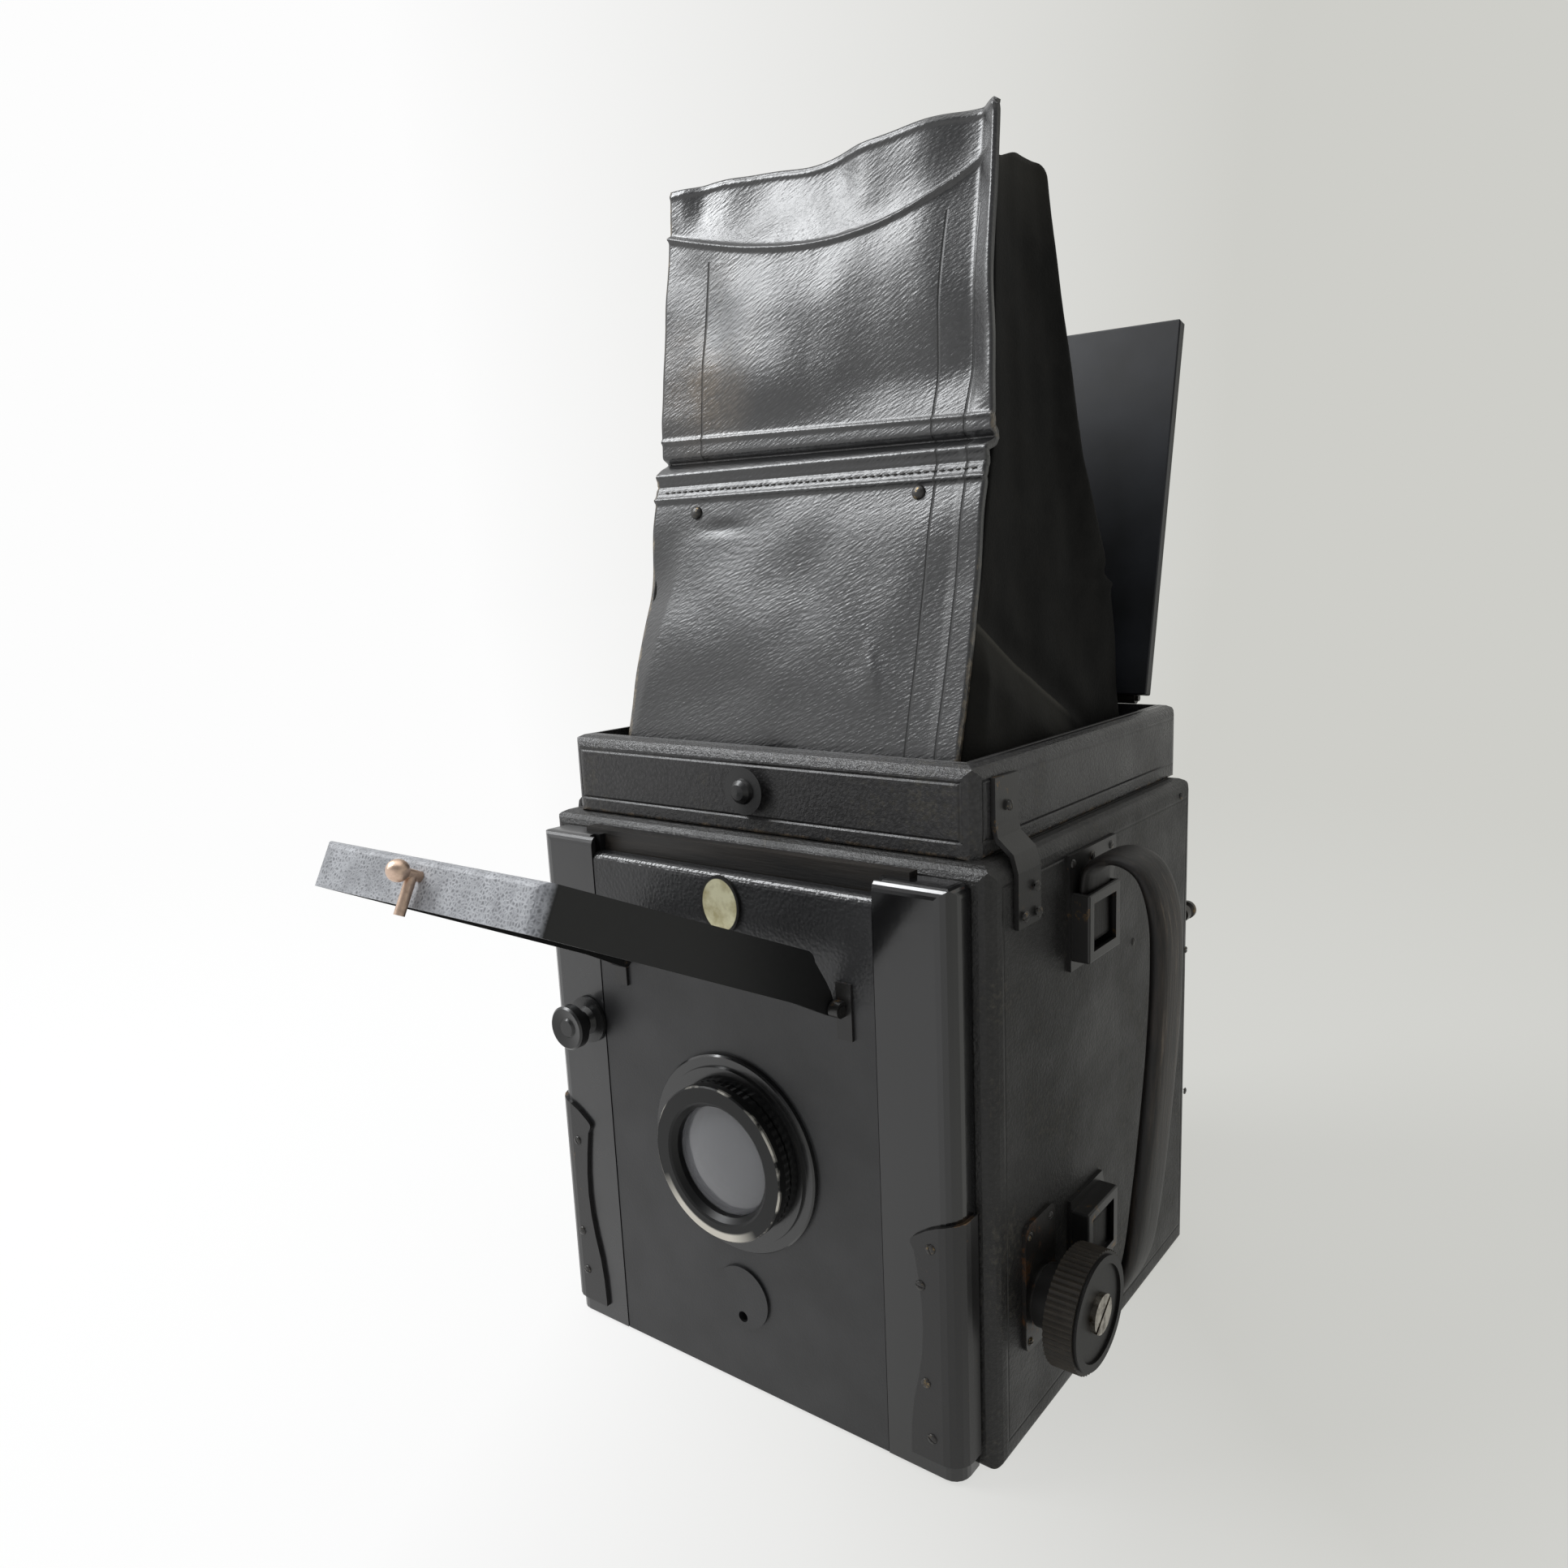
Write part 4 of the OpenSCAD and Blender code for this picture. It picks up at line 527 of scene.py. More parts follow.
cloud = add(tree, "TexNoise", {"Vector": place, "Scale": 130.0, "Detail": 8.0, "Roughness": 0.75})
some = add(tree, "ValToRGB", {0: cloud}, stops=[(0.36, 0.35), (0.6, 1.0)])
both = add(tree, "Math", {0: crack, 1: some}, operation="MULTIPLY")
# Painted sheen: the free end is painted pale grey, paler still along the crazed cracks.
painted_sheen_and_craze = add(tree, "Mix", {0: both, 6: linear("6a6b6e"), 7: linear("a9aaad")}, data_type="RGBA")
rub = add(tree, "ValToRGB", {0: cloud}, stops=[(0.64, linear("191919")), (0.76, linear("3a3835"))])
add(tree, "Mix", {0: end, 6: rub, 7: painted_sheen_and_craze}, data_type="RGBA", feeds=shader.inputs["Base Color"])
shown = add(tree, "Math", {0: crack, 1: end}, operation="MULTIPLY")
high = add(tree, "Math", {0: shown, 1: -1.0, 2: cloud}, operation="MULTIPLY_ADD")
add(tree, "Bump", {"Strength": 0.45, "Distance": 0.00015, "Height": high}, feeds=shader.inputs["Normal"])
finish_node("lens_door", tray)
finish_node("door_latch", brass("brass_rubbed_pink", "d3b9a6", 0.34, "84705f", 0.36))

# Hood box. A wooden tray with thick rounded walls, covered inside and out with goatskin that
# is greyer and glossier than the body's, with a tooled line near each edge.
finish_node("hood_box", goatskin("goatskin_box", "333232", (-75, -66.8, 172), (75, 73.7, 196.5), tooled=4.6,
                                 roughness=0.34))

# Lid. A thin board, leather on its outer face and black lacquer on the inner one, which the
# open lid turns to the front.
lid, tree, shader, place = new_finish("lacquered_lid", "101113", 0.42, specular=0.35)
lid_axis, lid_back = (0, 0.0674, 0.1987), (0, 0.9781, -0.2079)
axis = add(tree, "VectorMath", {0: place, 1: lid_axis}, operation="SUBTRACT")
deep = add(tree, "VectorMath", {0: axis, 1: lid_back}, operation="DOT_PRODUCT")
outer = add(tree, "Math", {0: deep.outputs["Value"], 1: -0.0044}, operation="GREATER_THAN")
pebble = add(tree, "TexVoronoi", {"Vector": place, "Scale": 1050.0}, feature="SMOOTH_F1")
cloud = add(tree, "TexNoise", {"Vector": place, "Scale": 45.0, "Detail": 6.0})
tone = add(tree, "ValToRGB", {0: cloud}, stops=[(0.35, linear("0e0f11")), (0.7, linear("1c1e22"))])
add(tree, "Mix", {0: outer, 6: tone, 7: linear("201f1e")}, data_type="RGBA",
    feeds=shader.inputs["Base Color"])
add(tree, "MapRange", {"Value": outer, "To Min": 0.4, "To Max": 0.46}, feeds=shader.inputs["Roughness"])
rough = add(tree, "Math", {0: outer, 1: pebble}, operation="MULTIPLY")
high = add(tree, "Math", {0: rough, 1: -1.0, 2: cloud}, operation="MULTIPLY_ADD")
add(tree, "Bump", {"Strength": 0.5, "Distance": 0.0002, "Height": high}, feeds=shader.inputs["Normal"])
finish_node("lid_board", lid)


# Bellows. Thin black leather over card, folded into pleats that are meant to open as the
# standard is racked out. At full travel the gap is still seen open.
def place_piece(name, bm, finish, body=None, smooth=True, sheet=None):
    """Makes an object of a bmesh given in mm, in the part's own frame, and lets it ride. A
    sheet has a name, a thickness in m and the side that it grows to."""
    bmesh.ops.scale(bm, vec=(0.001, 0.001, 0.001), verts=bm.verts)
    mesh = bpy.data.meshes.new(name)
    bm.to_mesh(mesh)
    bm.free()
    mesh.materials.append(finish)
    if smooth:
        mesh.shade_smooth()
    piece = bpy.data.objects.new(name, mesh)
    scene.collection.objects.link(piece)
    if body:
        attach(piece, body)
    if sheet:
        thick = piece.modifiers.new(sheet[0], "SOLIDIFY")
        thick.thickness, thick.offset = sheet[1:]
    return piece


pleat_skin = goatskin("skiver_bellows", "161616", (-57, -71, 15), (57, -63, 148), grain=0.6, roughness=0.6,
                      wear_and_sheen="161616")
folds, pleat_depth, pleat_step = 10, 3.2, 0.8
corner, half_wide, half_high, middle_z, front_y = 5, 52.2, 61.4, 81.5, -71.1
bm = bmesh.new()
bmesh.ops.create_circle(bm, radius=corner, segments=24)
for v in bm.verts:
    v.co = Vector((v.co.x + math.copysign(half_wide, v.co.x), front_y,
                   v.co.y + math.copysign(half_high, v.co.y) + middle_z))
loop = list(bm.edges)
for fold in range(1, folds + 1):
    made = bmesh.ops.extrude_edge_only(bm, edges=loop)["geom"]
    ring = [v for v in made if isinstance(v, bmesh.types.BMVert)]
    loop = [e for e in made if isinstance(e, bmesh.types.BMEdge)]
    inward = pleat_depth if fold % 2 else -pleat_depth
    for v in ring:
        v.co.x -= math.copysign(inward, v.co.x)
        v.co.z -= math.copysign(inward, v.co.z - middle_z)
        v.co.y += pleat_step
bmesh.ops.recalc_face_normals(bm, faces=bm.faces)
bellows = place_piece("bellows_leather", bm, pleat_skin, smooth=False,
                      sheet=("card", 0.0004, 0))
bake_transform(bellows)
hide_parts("bellows")


# Viewing hood. Long-grained leather, its ribs running up to the right. Two boards stiffen its
# front and meet in a fold. It is browned and rubbed on the left, and lines are scored in it.
hood_skin, tree, shader, place = new_finish("hood_leather_long_grain", "1f1f20", 0.36, specular=0.85)
turned = add(tree, "Mapping", {"Vector": place, "Rotation": (0, math.radians(27), 0)})
warp = add(tree, "TexNoise", {"Vector": place, "Scale": 130.0, "Detail": 3.0})
bent = add(tree, "VectorMath", {0: warp.outputs["Color"], 1: (0.0007, 0.0007, 0.0007), 2: turned},
           operation="MULTIPLY_ADD")
drawn = add(tree, "VectorMath", {0: bent, 1: (0.24, 1, 1)}, operation="MULTIPLY")
grain = add(tree, "TexVoronoi", {"Vector": drawn, "Scale": 1700.0}, feature="SMOOTH_F1")
soft = add(tree, "TexNoise", {"Vector": place, "Scale": 32.0, "Detail": 6.0, "Roughness": 0.65})
fine = add(tree, "TexNoise", {"Vector": place, "Scale": 620.0, "Detail": 5.0, "Roughness": 0.75})
height = add(tree, "Math", {0: grain, 1: -1.1, 2: fine}, operation="MULTIPLY_ADD").outputs[0]
part = add(tree, "SeparateXYZ", {0: place}).outputs
upper = add(tree, "MapRange", {"Value": part[2], "From Min": 0.2790, "From Max": 0.2800, "To Max": 2.0})
top = add(tree, "MapRange", {"Value": part[2], "From Min": 0.3405, "From Max": 0.3425})
upper = add(tree, "Math", {0: upper, 1: top}, operation="ADD").outputs[0]
scored = None
for x, level in ((-0.0437, 2), (0.0422, 2), (0.0526, 2), (0.045, 0), (0.055, 0)):
    off = add(tree, "Math", {0: part[0], 1: x}, operation="SUBTRACT")
    far = add(tree, "Math", {0: off}, operation="ABSOLUTE")
    near = add(tree, "MapRange", {"Value": far, "From Max": 0.0005, "To Min": 1.0,
                                  "To Max": 0.0}).outputs[0]
    board = add(tree, "Math", {0: upper, 1: float(level), 2: 0.5}, operation="COMPARE").outputs[0]
    line = add(tree, "Math", {0: near, 1: board}, operation="MULTIPLY").outputs[0]
    scored = add(tree, "Math", {0: line, 1: scored}, operation="MAXIMUM").outputs[0] if scored else line
height = add(tree, "Math", {0: scored, 1: -3.5, 2: height}, operation="MULTIPLY_ADD").outputs[0]
add(tree, "Bump", {"Strength": 0.75, "Distance": 0.00011, "Height": height}, feeds=shader.inputs["Normal"])
away = from_centre(tree, place, (-0.043, -0.025, 0.311), (1 / 0.021, 0, 1 / 0.030))[2]
patch = add(tree, "MapRange", {"Value": away, "From Min": 0.3, "From Max": 1.2, "To Min": 1.0,
                               "To Max": 0.0})
cloudy = add(tree, "ValToRGB", {0: soft}, stops=[(0.4, 0.0), (0.62, 1.0)])
brown = add(tree, "Math", {0: patch, 1: cloudy}, operation="MULTIPLY")
rub = add(tree, "TexNoise", {"Vector": place, "Scale": 210.0, "Detail": 7.0, "Roughness": 0.75})
side = add(tree, "Math", {0: part[0]}, operation="ABSOLUTE")
near = add(tree, "MapRange", {"Value": side, "From Min": 0.0588, "From Max": 0.0618})
bare_and_highlight = add(tree, "Math", {0: near, 1: rub}, operation="MULTIPLY")
edge = add(tree, "ValToRGB", {0: bare_and_highlight}, stops=[(0.42, 0.0), (0.6, 0.8)])
tone = add(tree, "ValToRGB", {0: soft}, stops=[(0.35, linear("131314")), (0.68, linear("262627"))])
warm = add(tree, "Mix", {0: brown, 6: tone, 7: linear("54493c")}, data_type="RGBA")
rubbed = add(tree, "Mix", {0: edge, 6: warm, 7: linear("8a7c66")}, data_type="RGBA")
grey = add(tree, "MapRange", {"Value": grain, "From Max": 0.7, "To Min": 1.3, "To Max": 0.5})
tint = add(tree, "Mix", {0: 1.0, 6: rubbed, 7: grey}, data_type="RGBA", blend_type="MULTIPLY")
# The scored lines are also painted near black, a painted shade in their grooves.
thin = add(tree, "Math", {0: scored, 1: 0.7}, operation="MULTIPLY")
add(tree, "Mix", {0: thin, 6: tint, 7: linear("050505")}, data_type="RGBA",
    feeds=shader.inputs["Base Color"])
gloss = add(tree, "MapRange", {"Value": soft, "From Min": 0.3, "From Max": 0.7, "To Min": 0.42,
                               "To Max": 0.27})
add(tree, "Math", {0: scored, 1: 0.3, 2: gloss}, operation="MULTIPLY_ADD", feeds=shader.inputs["Roughness"])

# The sides and the back are thin soft sheepskin, dyed black and quite dull.
gusset_skin, tree, shader, place = new_finish("hood_sheepskin_dull", "0e0e0d", 0.7, specular=0.1)
pebble = add(tree, "TexVoronoi", {"Vector": place, "Scale": 1150.0}, feature="SMOOTH_F1")
dust = add(tree, "TexNoise", {"Vector": place, "Scale": 70.0, "Detail": 7.0, "Roughness": 0.7})
tone = add(tree, "ValToRGB", {0: dust}, stops=[(0.4, linear("080807")), (0.72, linear("151412"))])
# Painted highlights: a pale line just under the crease across the front of each side, a fainter pale area
# below it, and paler leather towards the top, standing for the light on these folds.
part = add(tree, "SeparateXYZ", {0: place}).outputs
slope = add(tree, "Math", {0: part[1], 1: 0.56, 2: part[2]}, operation="MULTIPLY_ADD")
under = add(tree, "Math", {0: 0.2075, 1: slope}, operation="SUBTRACT").outputs[0]
fold = add(tree, "ValToRGB", {0: add(tree, "MapRange",
                                     {"Value": under, "From Min": -0.002, "From Max": 0.018}).outputs[0]},
           stops=[(0.04, 0.0), (0.1, 1.0), (0.2, 0.35), (0.8, 0.12)])
ahead = add(tree, "MapRange", {"Value": part[1], "From Min": 0.006, "From Max": 0.016, "To Min": 1.0,
                               "To Max": 0.0})
painted_top_highlight = add(tree, "MapRange", {"Value": part[2], "From Min": 0.335, "From Max": 0.352, "To Max": 0.3})
wear_and_sheen = add(tree, "Math", {0: fold, 1: ahead, 2: painted_top_highlight}, operation="MULTIPLY_ADD")
add(tree, "Mix", {0: wear_and_sheen, 6: tone, 7: linear("3a3832")}, data_type="RGBA",
    feeds=shader.inputs["Base Color"])
height = add(tree, "Math", {0: pebble, 1: -0.8, 2: dust}, operation="MULTIPLY_ADD")
add(tree, "Bump", {"Strength": 0.5, "Distance": 0.0002, "Height": height}, feeds=shader.inputs["Normal"])


def along(line, z):
    """y on a line of (y, z) points at the height z."""
    for (y0, z0), (y1, z1) in zip(line, line[1:]):
        if z <= z1 or (y1, z1) == line[-1]:
            return y0 + (y1 - y0) * (z - z0) / (z1 - z0)


def bell(value, centre, width):
    return math.exp(-((value - centre) / width) ** 2)


def ramp(value, low, high):
    t = min(max((value - low) / (high - low), 0), 1)
    return t * t * (3 - 2 * t)


# the hood from the side, (y, z) in mm from its foot to its top
front_line = [(-57, 176.2), (-52.5, 197), (-32, 276), (-19, 364)]
back_line = [(60, 176.2), (57, 198), (51, 238), (31.5, 277), (16.7, 357)]


def hood_half(z):
    """Half the hood's width at the height z: its sides lean in by 0.9 degrees."""
    return 62.5 - max(z - 196.5, 0) * math.tan(math.radians(0.9))


def scoop_line(x):
    """The height of the upper board's hollow edge."""
    return 339.9 - 0.03 * x + 0.0041 * x * x + 0.0000229 * x ** 3


def front_relief(x, z):
    """How far the front leather stands out from its plane, in mm."""
    swell = (2.3 * noise.noise(Vector((x / 42, z / 34, 2.0)))
             + 0.6 * noise.noise(Vector((x / 15, z / 17, 7.0))))
    out = swell * ramp(abs(z - 278), 4, 22) * ramp(z, 196, 220) * (0.7 + 0.3 * ramp(z, 265, 285))
    # the fold: hem, gap, rounded edge, groove and stitched edge
    slant = 0.02 * x
    out += (0.65 * bell(z, 286.6 - slant, 0.7) - 2.7 * bell(z, 280.2 - slant / 2, 1.2)
            + 1.3 * bell(z, 277.0, 1.5))
    out -= 0.45 * bell(z, 273.4, 0.5)
    out += 0.8 * bell(z, 269.4, 0.8)
    out += 0.5 * ramp(z, 267.5, 270) * (1 - ramp(z, 276, 279))
    # the upper board bulges across its middle and curls back towards the right
    out += (1.5 - 0.7 * bell(x, -34, 16)) * bell(z, 312 + 0.2 * x, 17) * ramp(z, 283, 296)
    out -= 0.0018 * max(x - 10, 0) ** 2 * ramp(z, 283, 300) * (1 - ramp(x, 52, 60))
    # the ridge of the scoop and the sagging leather above it
    scoop = scoop_line(x)
    rise = min(max((z - scoop) / (366 - scoop), 0), 1)
    inside = ramp(x, -55, -46) * (1 - ramp(x, 46, 60))
    loose = 1 - ramp(x, 52, 58)
    out += 1.15 * loose * bell(z, scoop, 0.75)
    if z > scoop:
        sag = 0.5 * math.sin(math.pi / 2 * min(rise / 0.6, 1)) + 0.5 * rise
        dip = 1.9 + 0.7 * bell(x, -6, 26) - 1.1 * bell(x, 33, 9)
        out += (0.9 * bell(x, 14, 7) - 0.9 * bell(x, -28, 14)) * ramp(z, 343, 352)
        out -= 0.8 * loose * ramp(z - scoop, 0, 1.5) + inside * dip * sag
    out += 0.5 * bell(z, 364.4, 0.8)
    # the left edge of the lower board bends back, and a few creases cross it
    if z < 262:
        line = -46 - (262 - z) * 0.2
        out -= 0.24 * max(line - x, 0) * ramp(262 - z, 0, 26)
    out -= 0.7 * bell(x, -32, 8) * bell(z, 259.5, 1.8)
    out += 0.5 * bell(x, 29 + (226 - z) * 0.3, 2.2) * bell(z, 219, 7)
    # the raised strip along the right edge, and room at the foot for the button's catch
    out += 0.5 * ramp(x, 53, 55)
    out -= 2.4 * bell(x, 0, 7) * bell(z, 184, 9)
    return out


def hood_lean(z):
    """The hood's top hangs a little to the left."""
    return -3.6 * max(z - 277, 0) / 88


heights = []
for low, high, rows in ((176.4, 264, 64), (264, 291, 78), (291, 334, 30), (334, 366, 66)):
    heights += [low + (high - low) * i / rows for i in range(rows)]
heights.append(366)
bm = bmesh.new()
bmesh.ops.create_grid(bm, x_segments=136, y_segments=len(heights) - 1, size=0.5)
for v in bm.verts:
    z = heights[round((v.co.y + 0.5) * (len(heights) - 1))]
    half = hood_half(z) - 0.8 * ramp(z, 280, 364)
    shift = 1.2 * ramp(z, 277, 281) - 0.6
    x = 2 * v.co.x * half
    lip = ramp(z, 350, 366)
    wave = (1.3 * bell(x, 38, 12) - 2.2 * bell(x, -4, 13) + 0.6 * bell(x, -39, 8)
            + 1.2 * ramp(x, 30, 60))
    v.co = Vector((x + shift + hood_lean(z), along(front_line, z) - front_relief(x, z), z + lip * wave))
bmesh.ops.recalc_face_normals(bm, faces=bm.faces)
hood_front = place_piece("hood_front_leather", bm, hood_skin, "body",
                         sheet=("stiffener", 0.0021, -1))
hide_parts("hood_front")

# Stitches of waxed thread along the fold, each a small pillow.
thread, shader = gritty("waxed_thread", "2b2926", 0.5, 3000.0, 2.0, strength=0.4)
bm = bmesh.new()
for i in range(45):
    x, z = -57 + 2.6 * i, 271.6
    y = along(front_line, z) - front_relief(x, z)
    matrix = Matrix.Translation((x, y - 0.1, z)) @ Matrix.Diagonal((0.95, 0.3, 0.32, 1))
    bmesh.ops.create_icosphere(bm, subdivisions=2, radius=1, matrix=matrix)
stitches = place_piece("hood_stitches", bm, thread, "body")

# The soft sides and the back are one sheet, from one front edge round to the other.
bm = bmesh.new()
bmesh.ops.create_grid(bm, x_segments=190, y_segments=110, size=0.5)
for v in bm.verts:
    s, up = v.co.x + 0.5, v.co.y + 0.5
    side = -1 if s < 0.5 else 1
    q = 1 - abs(2 * s - 1)          # 0 at the front edges, 1 in the middle of the back
    z_mid = 176.6 + up * (354 - 176.6)
    y0, y1 = along(front_line, z_mid) + 2.6, along(back_line, z_mid)
    half = hood_half(z_mid) - 0.9
    depth, round_r = y1 - y0, 5.0
    total = depth + half
    run = q * total
    if run < depth - round_r:
        x, y = half, y0 + run
    elif run < depth + round_r:
        a = (run - depth + round_r) / (2 * round_r) * math.pi / 2
        x, y = half - round_r + round_r * math.cos(a), y1 - round_r + round_r * math.sin(a)
    else:
        x, y = half - (run - depth), y1
    top = 353.5 + 4.5 * ramp(run / depth, 0, 0.5) - 4.5 * ramp(run, depth - 7, depth + 1)
    z = 176.6 + up * (top - 176.6)
    # soft folds: the side falls inwards between its edges and creases above the foot
    span = ramp(run, 0, depth * 0.35) * (1 - ramp(run, depth * 0.72, depth))
    mid_up = ramp(z, 200, 240) * (1 - 0.35 * ramp(z, 300, 350))
    wrinkle = 1.1 * noise.noise(Vector((y / 14, z / 26, side * 4.0)))
    fold = 3.6 * span * mid_up + wrinkle * ramp(run, 0, 12) * ramp(z, 182, 205)
    crease = 226 - (y + 33) * 0.56
    here = ramp(run, 0, 6) * (1 - ramp(run, depth * 0.55, depth * 0.8))
    fold += (1.6 * bell(z, crease + 5, 6) - 1.1 * bell(z, crease, 1.5)) * here
    fold -= 0.24 * min(max(crease - z, 0), 14) * here * ramp(z, 178, 192)
    fold += (1.5 * bell(z, 242, 2.6) - 1.2 * bell(z, 238.5, 1.3)) * ramp(run, depth * 0.66, depth * 0.85)
    if run < depth:
        x -= fold
    else:
        y -= 1.6 * noise.noise(Vector((x / 22, z / 24, 11.0))) * ramp(z, 182, 205) + 1.0
    v.co = Vector((side * x + hood_lean(z), y, z))
bmesh.ops.remove_doubles(bm, verts=bm.verts, dist=0.001)
bmesh.ops.recalc_face_normals(bm, faces=bm.faces)
hood_soft = place_piece("hood_soft_leather", bm, gusset_skin, "body",
                        sheet=("leather", 0.0013, -1))
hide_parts("hood_sides", "hood_back")
for piece in (hood_front, hood_soft, stitches):
    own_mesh(piece)


# Carrying strap. Bridle leather folded round a cord, so that it is thick and rounded,
# darkened by hands and cracked along the bend.
strap_skin, tree, shader, place = new_finish("bridle_leather", "1c1714", 0.48, specular=0.3)
streak = add(tree, "Mapping", {"Vector": place, "Scale": (1.0, 2.4, 0.12)})
crack = add(tree, "TexNoise", {"Vector": streak, "Scale": 330.0, "Detail": 8.0, "Roughness": 0.72})
face = add(tree, "SeparateXYZ", {0: place}).outputs
outer = add(tree, "MapRange", {"Value": face[0], "From Min": 0.1035, "From Max": 0.1075})
level = add(tree, "Math", {0: outer, 1: 0.13, 2: crack}, operation="MULTIPLY_ADD")
add(tree, "ValToRGB", {0: level}, stops=[(0.5, linear("12100f")), (0.68, linear("2a241f")),
                                         (0.85, linear("5f5447"))], feeds=shader.inputs["Base Color"])
add(tree, "Bump", {"Strength": 0.55, "Distance": 0.0003, "Height": crack}, feeds=shader.inputs["Normal"])

# its middle from the front, (x, z) in mm from the upper end to the lower
strap_line = [(84.8, 140), (84.8, 156.5), (86.8, 162.3), (94, 165), (101.5, 161.3), (105.6, 150),
              (106.4, 134), (105.6, 112), (104, 90), (102, 68), (99.4, 47), (95.6, 35), (90.6, 30),
              (86.2, 31.7), (84.8, 37.5), (84.8, 53)]


def smooth_path(points, steps):
    """A Catmull-Rom curve through the points."""
    ends = [points[0]] + list(points) + [points[-1]]
    line = []
    for i in range(len(points) - 1):
        p = [Vector(q) for q in ends[i:i + 4]]
        for k in range(steps):
            t = k / steps
            line.append(0.5 * (2 * p[1] + (p[2] - p[0]) * t + (2 * p[0] - 5 * p[1] + 4 * p[2] - p[3]) * t * t
                               + (3 * p[1] - p[0] - 3 * p[2] + p[3]) * t ** 3))
    return line + [Vector(points[-1])]


path = smooth_path(strap_line, 8)
bm = bmesh.new()
bmesh.ops.create_grid(bm, x_segments=len(path) - 1, y_segments=28, size=0.5)
for v in bm.verts:
    i = round((v.co.x + 0.5) * (len(path) - 1))
    a = 2 * math.pi * (v.co.y + 0.5)
    ahead = (path[min(i + 1, len(path) - 1)] - path[max(i - 1, 0)]).normalized()
    normal = Vector((-ahead.y, ahead.x))
    # narrower and thicker where the hand holds it
    full = ramp(i, 24, 46) * (1 - ramp(i, 72, 96))
    wide, thick_half = 9.0 - 0.6 * full, 1.75 + 1.1 * full
    across = wide * math.copysign(abs(math.cos(a)) ** 0.55, math.cos(a))
    off = thick_half * math.copysign(abs(math.sin(a)) ** 0.8, math.sin(a))
    v.co = Vector((path[i].x + normal.x * off, -16.5 + across, path[i].y + normal.y * off))
bmesh.ops.remove_doubles(bm, verts=bm.verts, dist=0.001)
bmesh.ops.holes_fill(bm, edges=bm.edges, sides=60)
bmesh.ops.recalc_face_normals(bm, faces=bm.faces)
strap = place_piece("carrying_strap", bm, strap_skin, "body")
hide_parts("handle_strap")


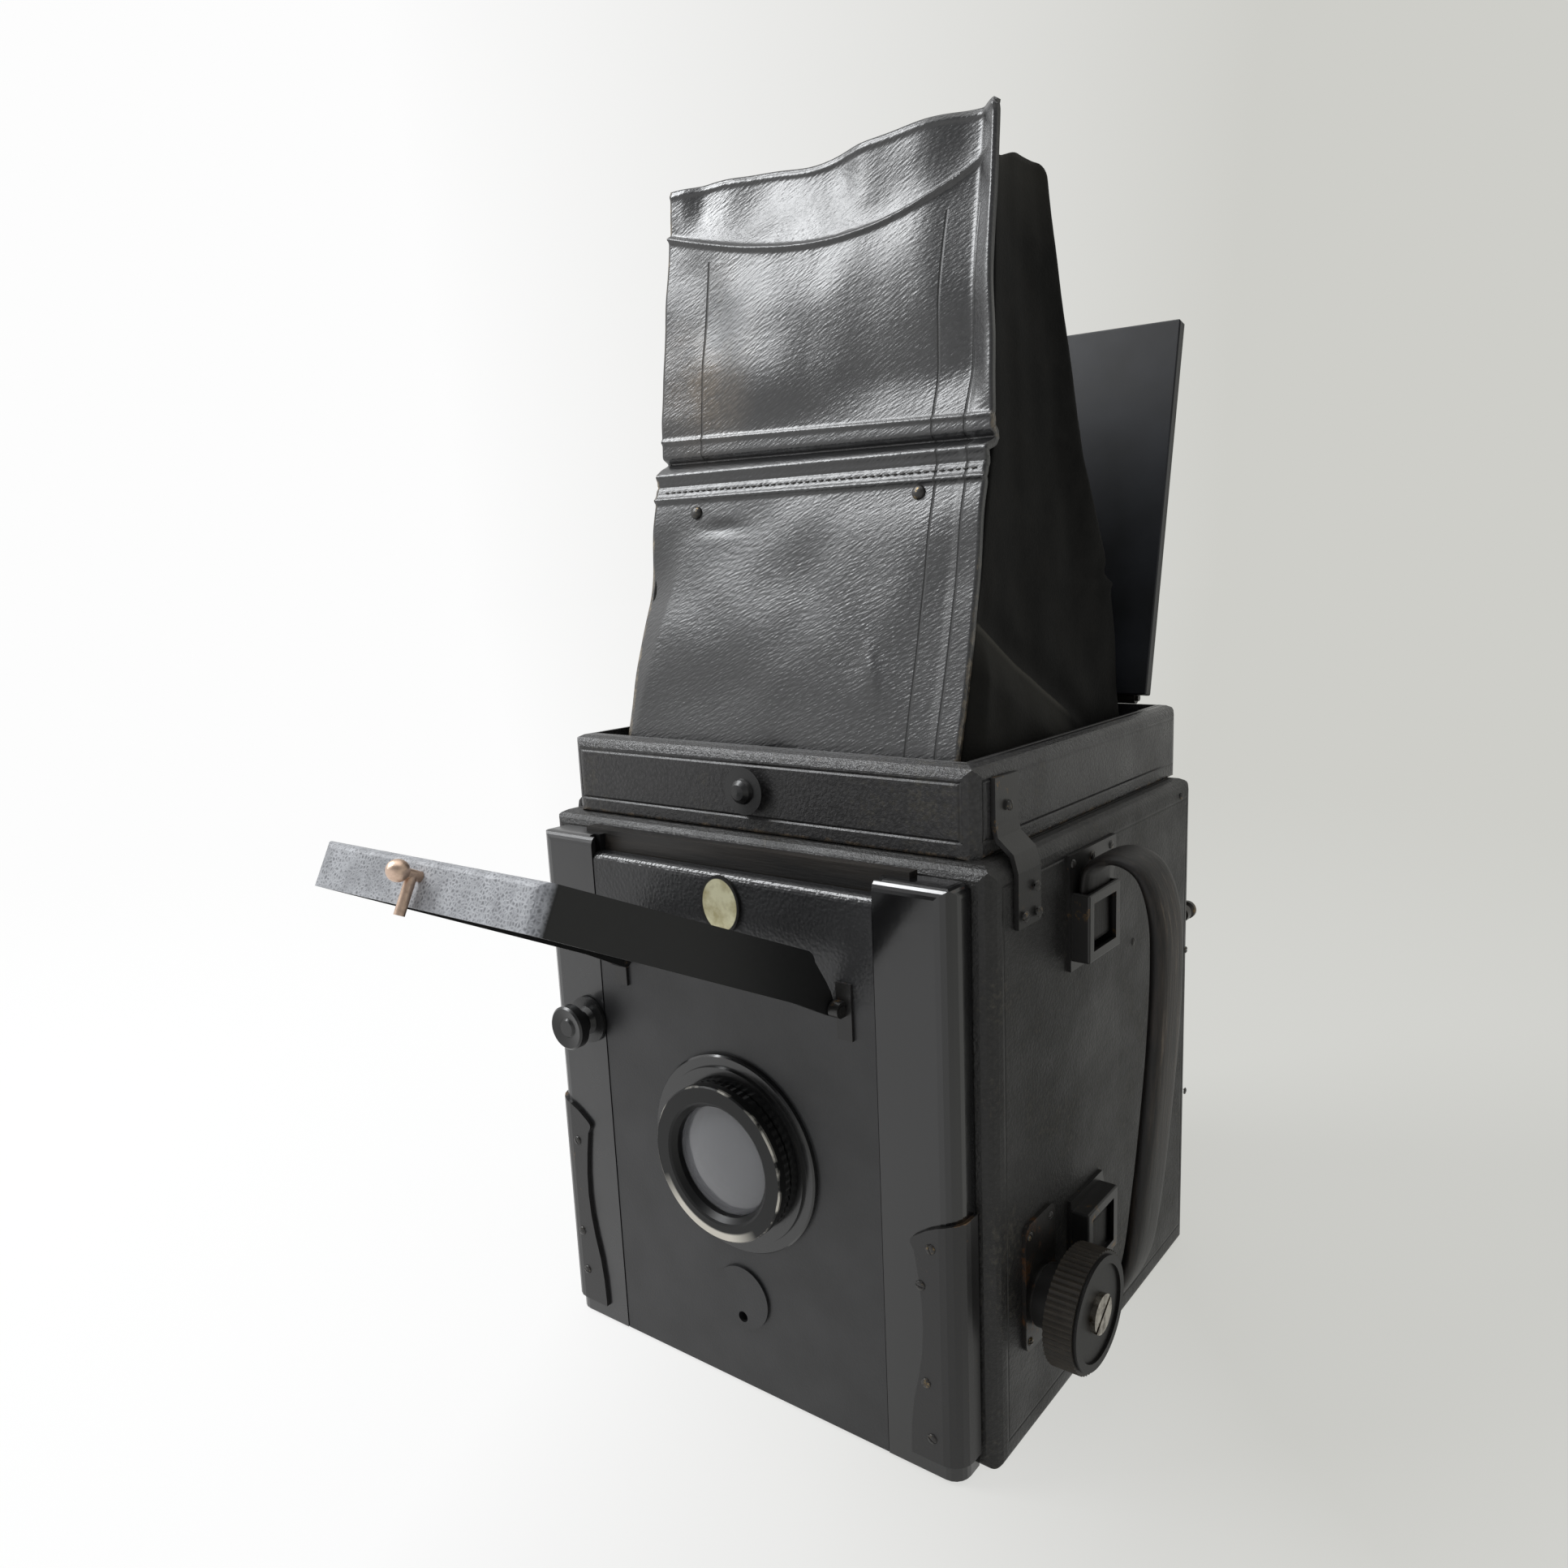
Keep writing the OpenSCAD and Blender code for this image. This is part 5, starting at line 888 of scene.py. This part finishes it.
# Screws, studs and a rivet. Small round-headed screws of blackened brass hold the fittings;
# each head has a filed slot, and the slots stand at many angles.
def round_head(group, place, facing, radius, turn=0.0, slotted=True, high=0.42):
    """Adds one head to a group, with its foot at place and its dome facing outwards."""
    head = bmesh.new()
    profile = [(1, 0), (0.97, 0.35), (0.8, 0.7), (0.45, 0.93), (0, 1)]
    rim = [head.verts.new((radius * r, 0, radius * high * h)) for r, h in profile]
    edges = [head.edges.new(pair) for pair in zip(rim, rim[1:])]
    bmesh.ops.spin(head, geom=rim + edges, cent=(0, 0, 0), axis=(0, 0, 1), angle=2 * math.pi, steps=18,
                   use_merge=True)
    bmesh.ops.remove_doubles(head, verts=head.verts, dist=0.001)
    if slotted:
        for side in (-0.15, 0.15):
            whole = head.verts[:] + head.edges[:] + head.faces[:]
            bmesh.ops.bisect_plane(head, geom=whole, plane_co=(side * radius, 0, 0), plane_no=(1, 0, 0))
        strip = [f for f in head.faces if abs(f.calc_center_median().x) < 0.14 * radius]
        cut = bmesh.ops.extrude_face_region(head, geom=strip)["geom"]
        floor_of_slot = [g for g in cut if isinstance(g, bmesh.types.BMVert)]
        bmesh.ops.translate(head, vec=(0, 0, -0.22 * radius), verts=floor_of_slot)
        bmesh.ops.delete(head, geom=strip, context="FACES_ONLY")
    bmesh.ops.recalc_face_normals(head, faces=head.faces)
    outwards = Vector(facing).normalized().to_track_quat("Z", "Y").to_matrix().to_4x4()
    matrix = Matrix.Translation(place) @ outwards @ Matrix.Rotation(math.radians(turn), 4, "Z")
    bmesh.ops.transform(head, matrix=matrix, verts=head.verts)
    mesh = bpy.data.meshes.new("head")
    head.to_mesh(mesh)
    head.free()
    group.from_mesh(mesh)
    bpy.data.meshes.remove(mesh)


screw_metal = black_brass("blackened_screws", "262422", "8f7a55", 0.56, 420.0)
bm = bmesh.new()
for y, z, turn in ((-52.6, 184.5, 20), (-49.8, 163, 70), (-56.3, 156.2, 110), (-48.8, 155.6, 40)):
    for side in (-1, 1):
        out = 77.2 if z > 180 else 83.7
        round_head(bm, (side * out, y, z), (side, 0, 0), 1.5, turn)
for z, up in ((135, 1), (58, -1)):
    for y, rise, turn in ((-26.4, 28.4, 15), (-0.6, 28.4, 80), (-13.5, 28, 140)):
        round_head(bm, (82.7, y, z + up * rise), (1, 0, 0), 1.3, turn + 20 * up)
for y, z, turn in ((-53.5, 63.5, 30), (-41, 63.5, 100), (-53.5, 31, 75), (-41, 31, 150)):
    round_head(bm, (82.7, y, z), (1, 0, 0), 1.3, turn)
for y, z, turn in ((59.8, 167, 10), (66.6, 111, 80), (68.5, 57.3, 40), (19.9, 127.4, 20)):
    round_head(bm, (81.5, y, z), (1, 0, 0), 1.2, turn)
round_head(bm, (98.6, -16.5, 164.8), (0.42, 0, 0.91), 1.7, slotted=False)
place_piece("body_screws", bm, screw_metal, "body")

bm = bmesh.new()
for x, z, turn in ((68.4, 70, 20), (65, 58.4, 80), (66, 29.5, 130), (67.6, 13, 60), (-68.6, 64, 30),
                   (-70, 31, 110), (-69, 17, 70)):
    round_head(bm, (x, -82.2, z), (0, -1, 0), 1.5, turn)
place_piece("front_screws", bm, screw_metal, "front")

bm = bmesh.new()
for x, z in ((-43.6, 264.7), (39.9, 266.1)):
    y = along(front_line, z) - front_relief(x, z)
    round_head(bm, (x, y, z), (0, -0.968, 0.25), 2.1, slotted=False, high=0.6)
studs = place_piece("hood_studs", bm, screw_metal, "body")
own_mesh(studs)
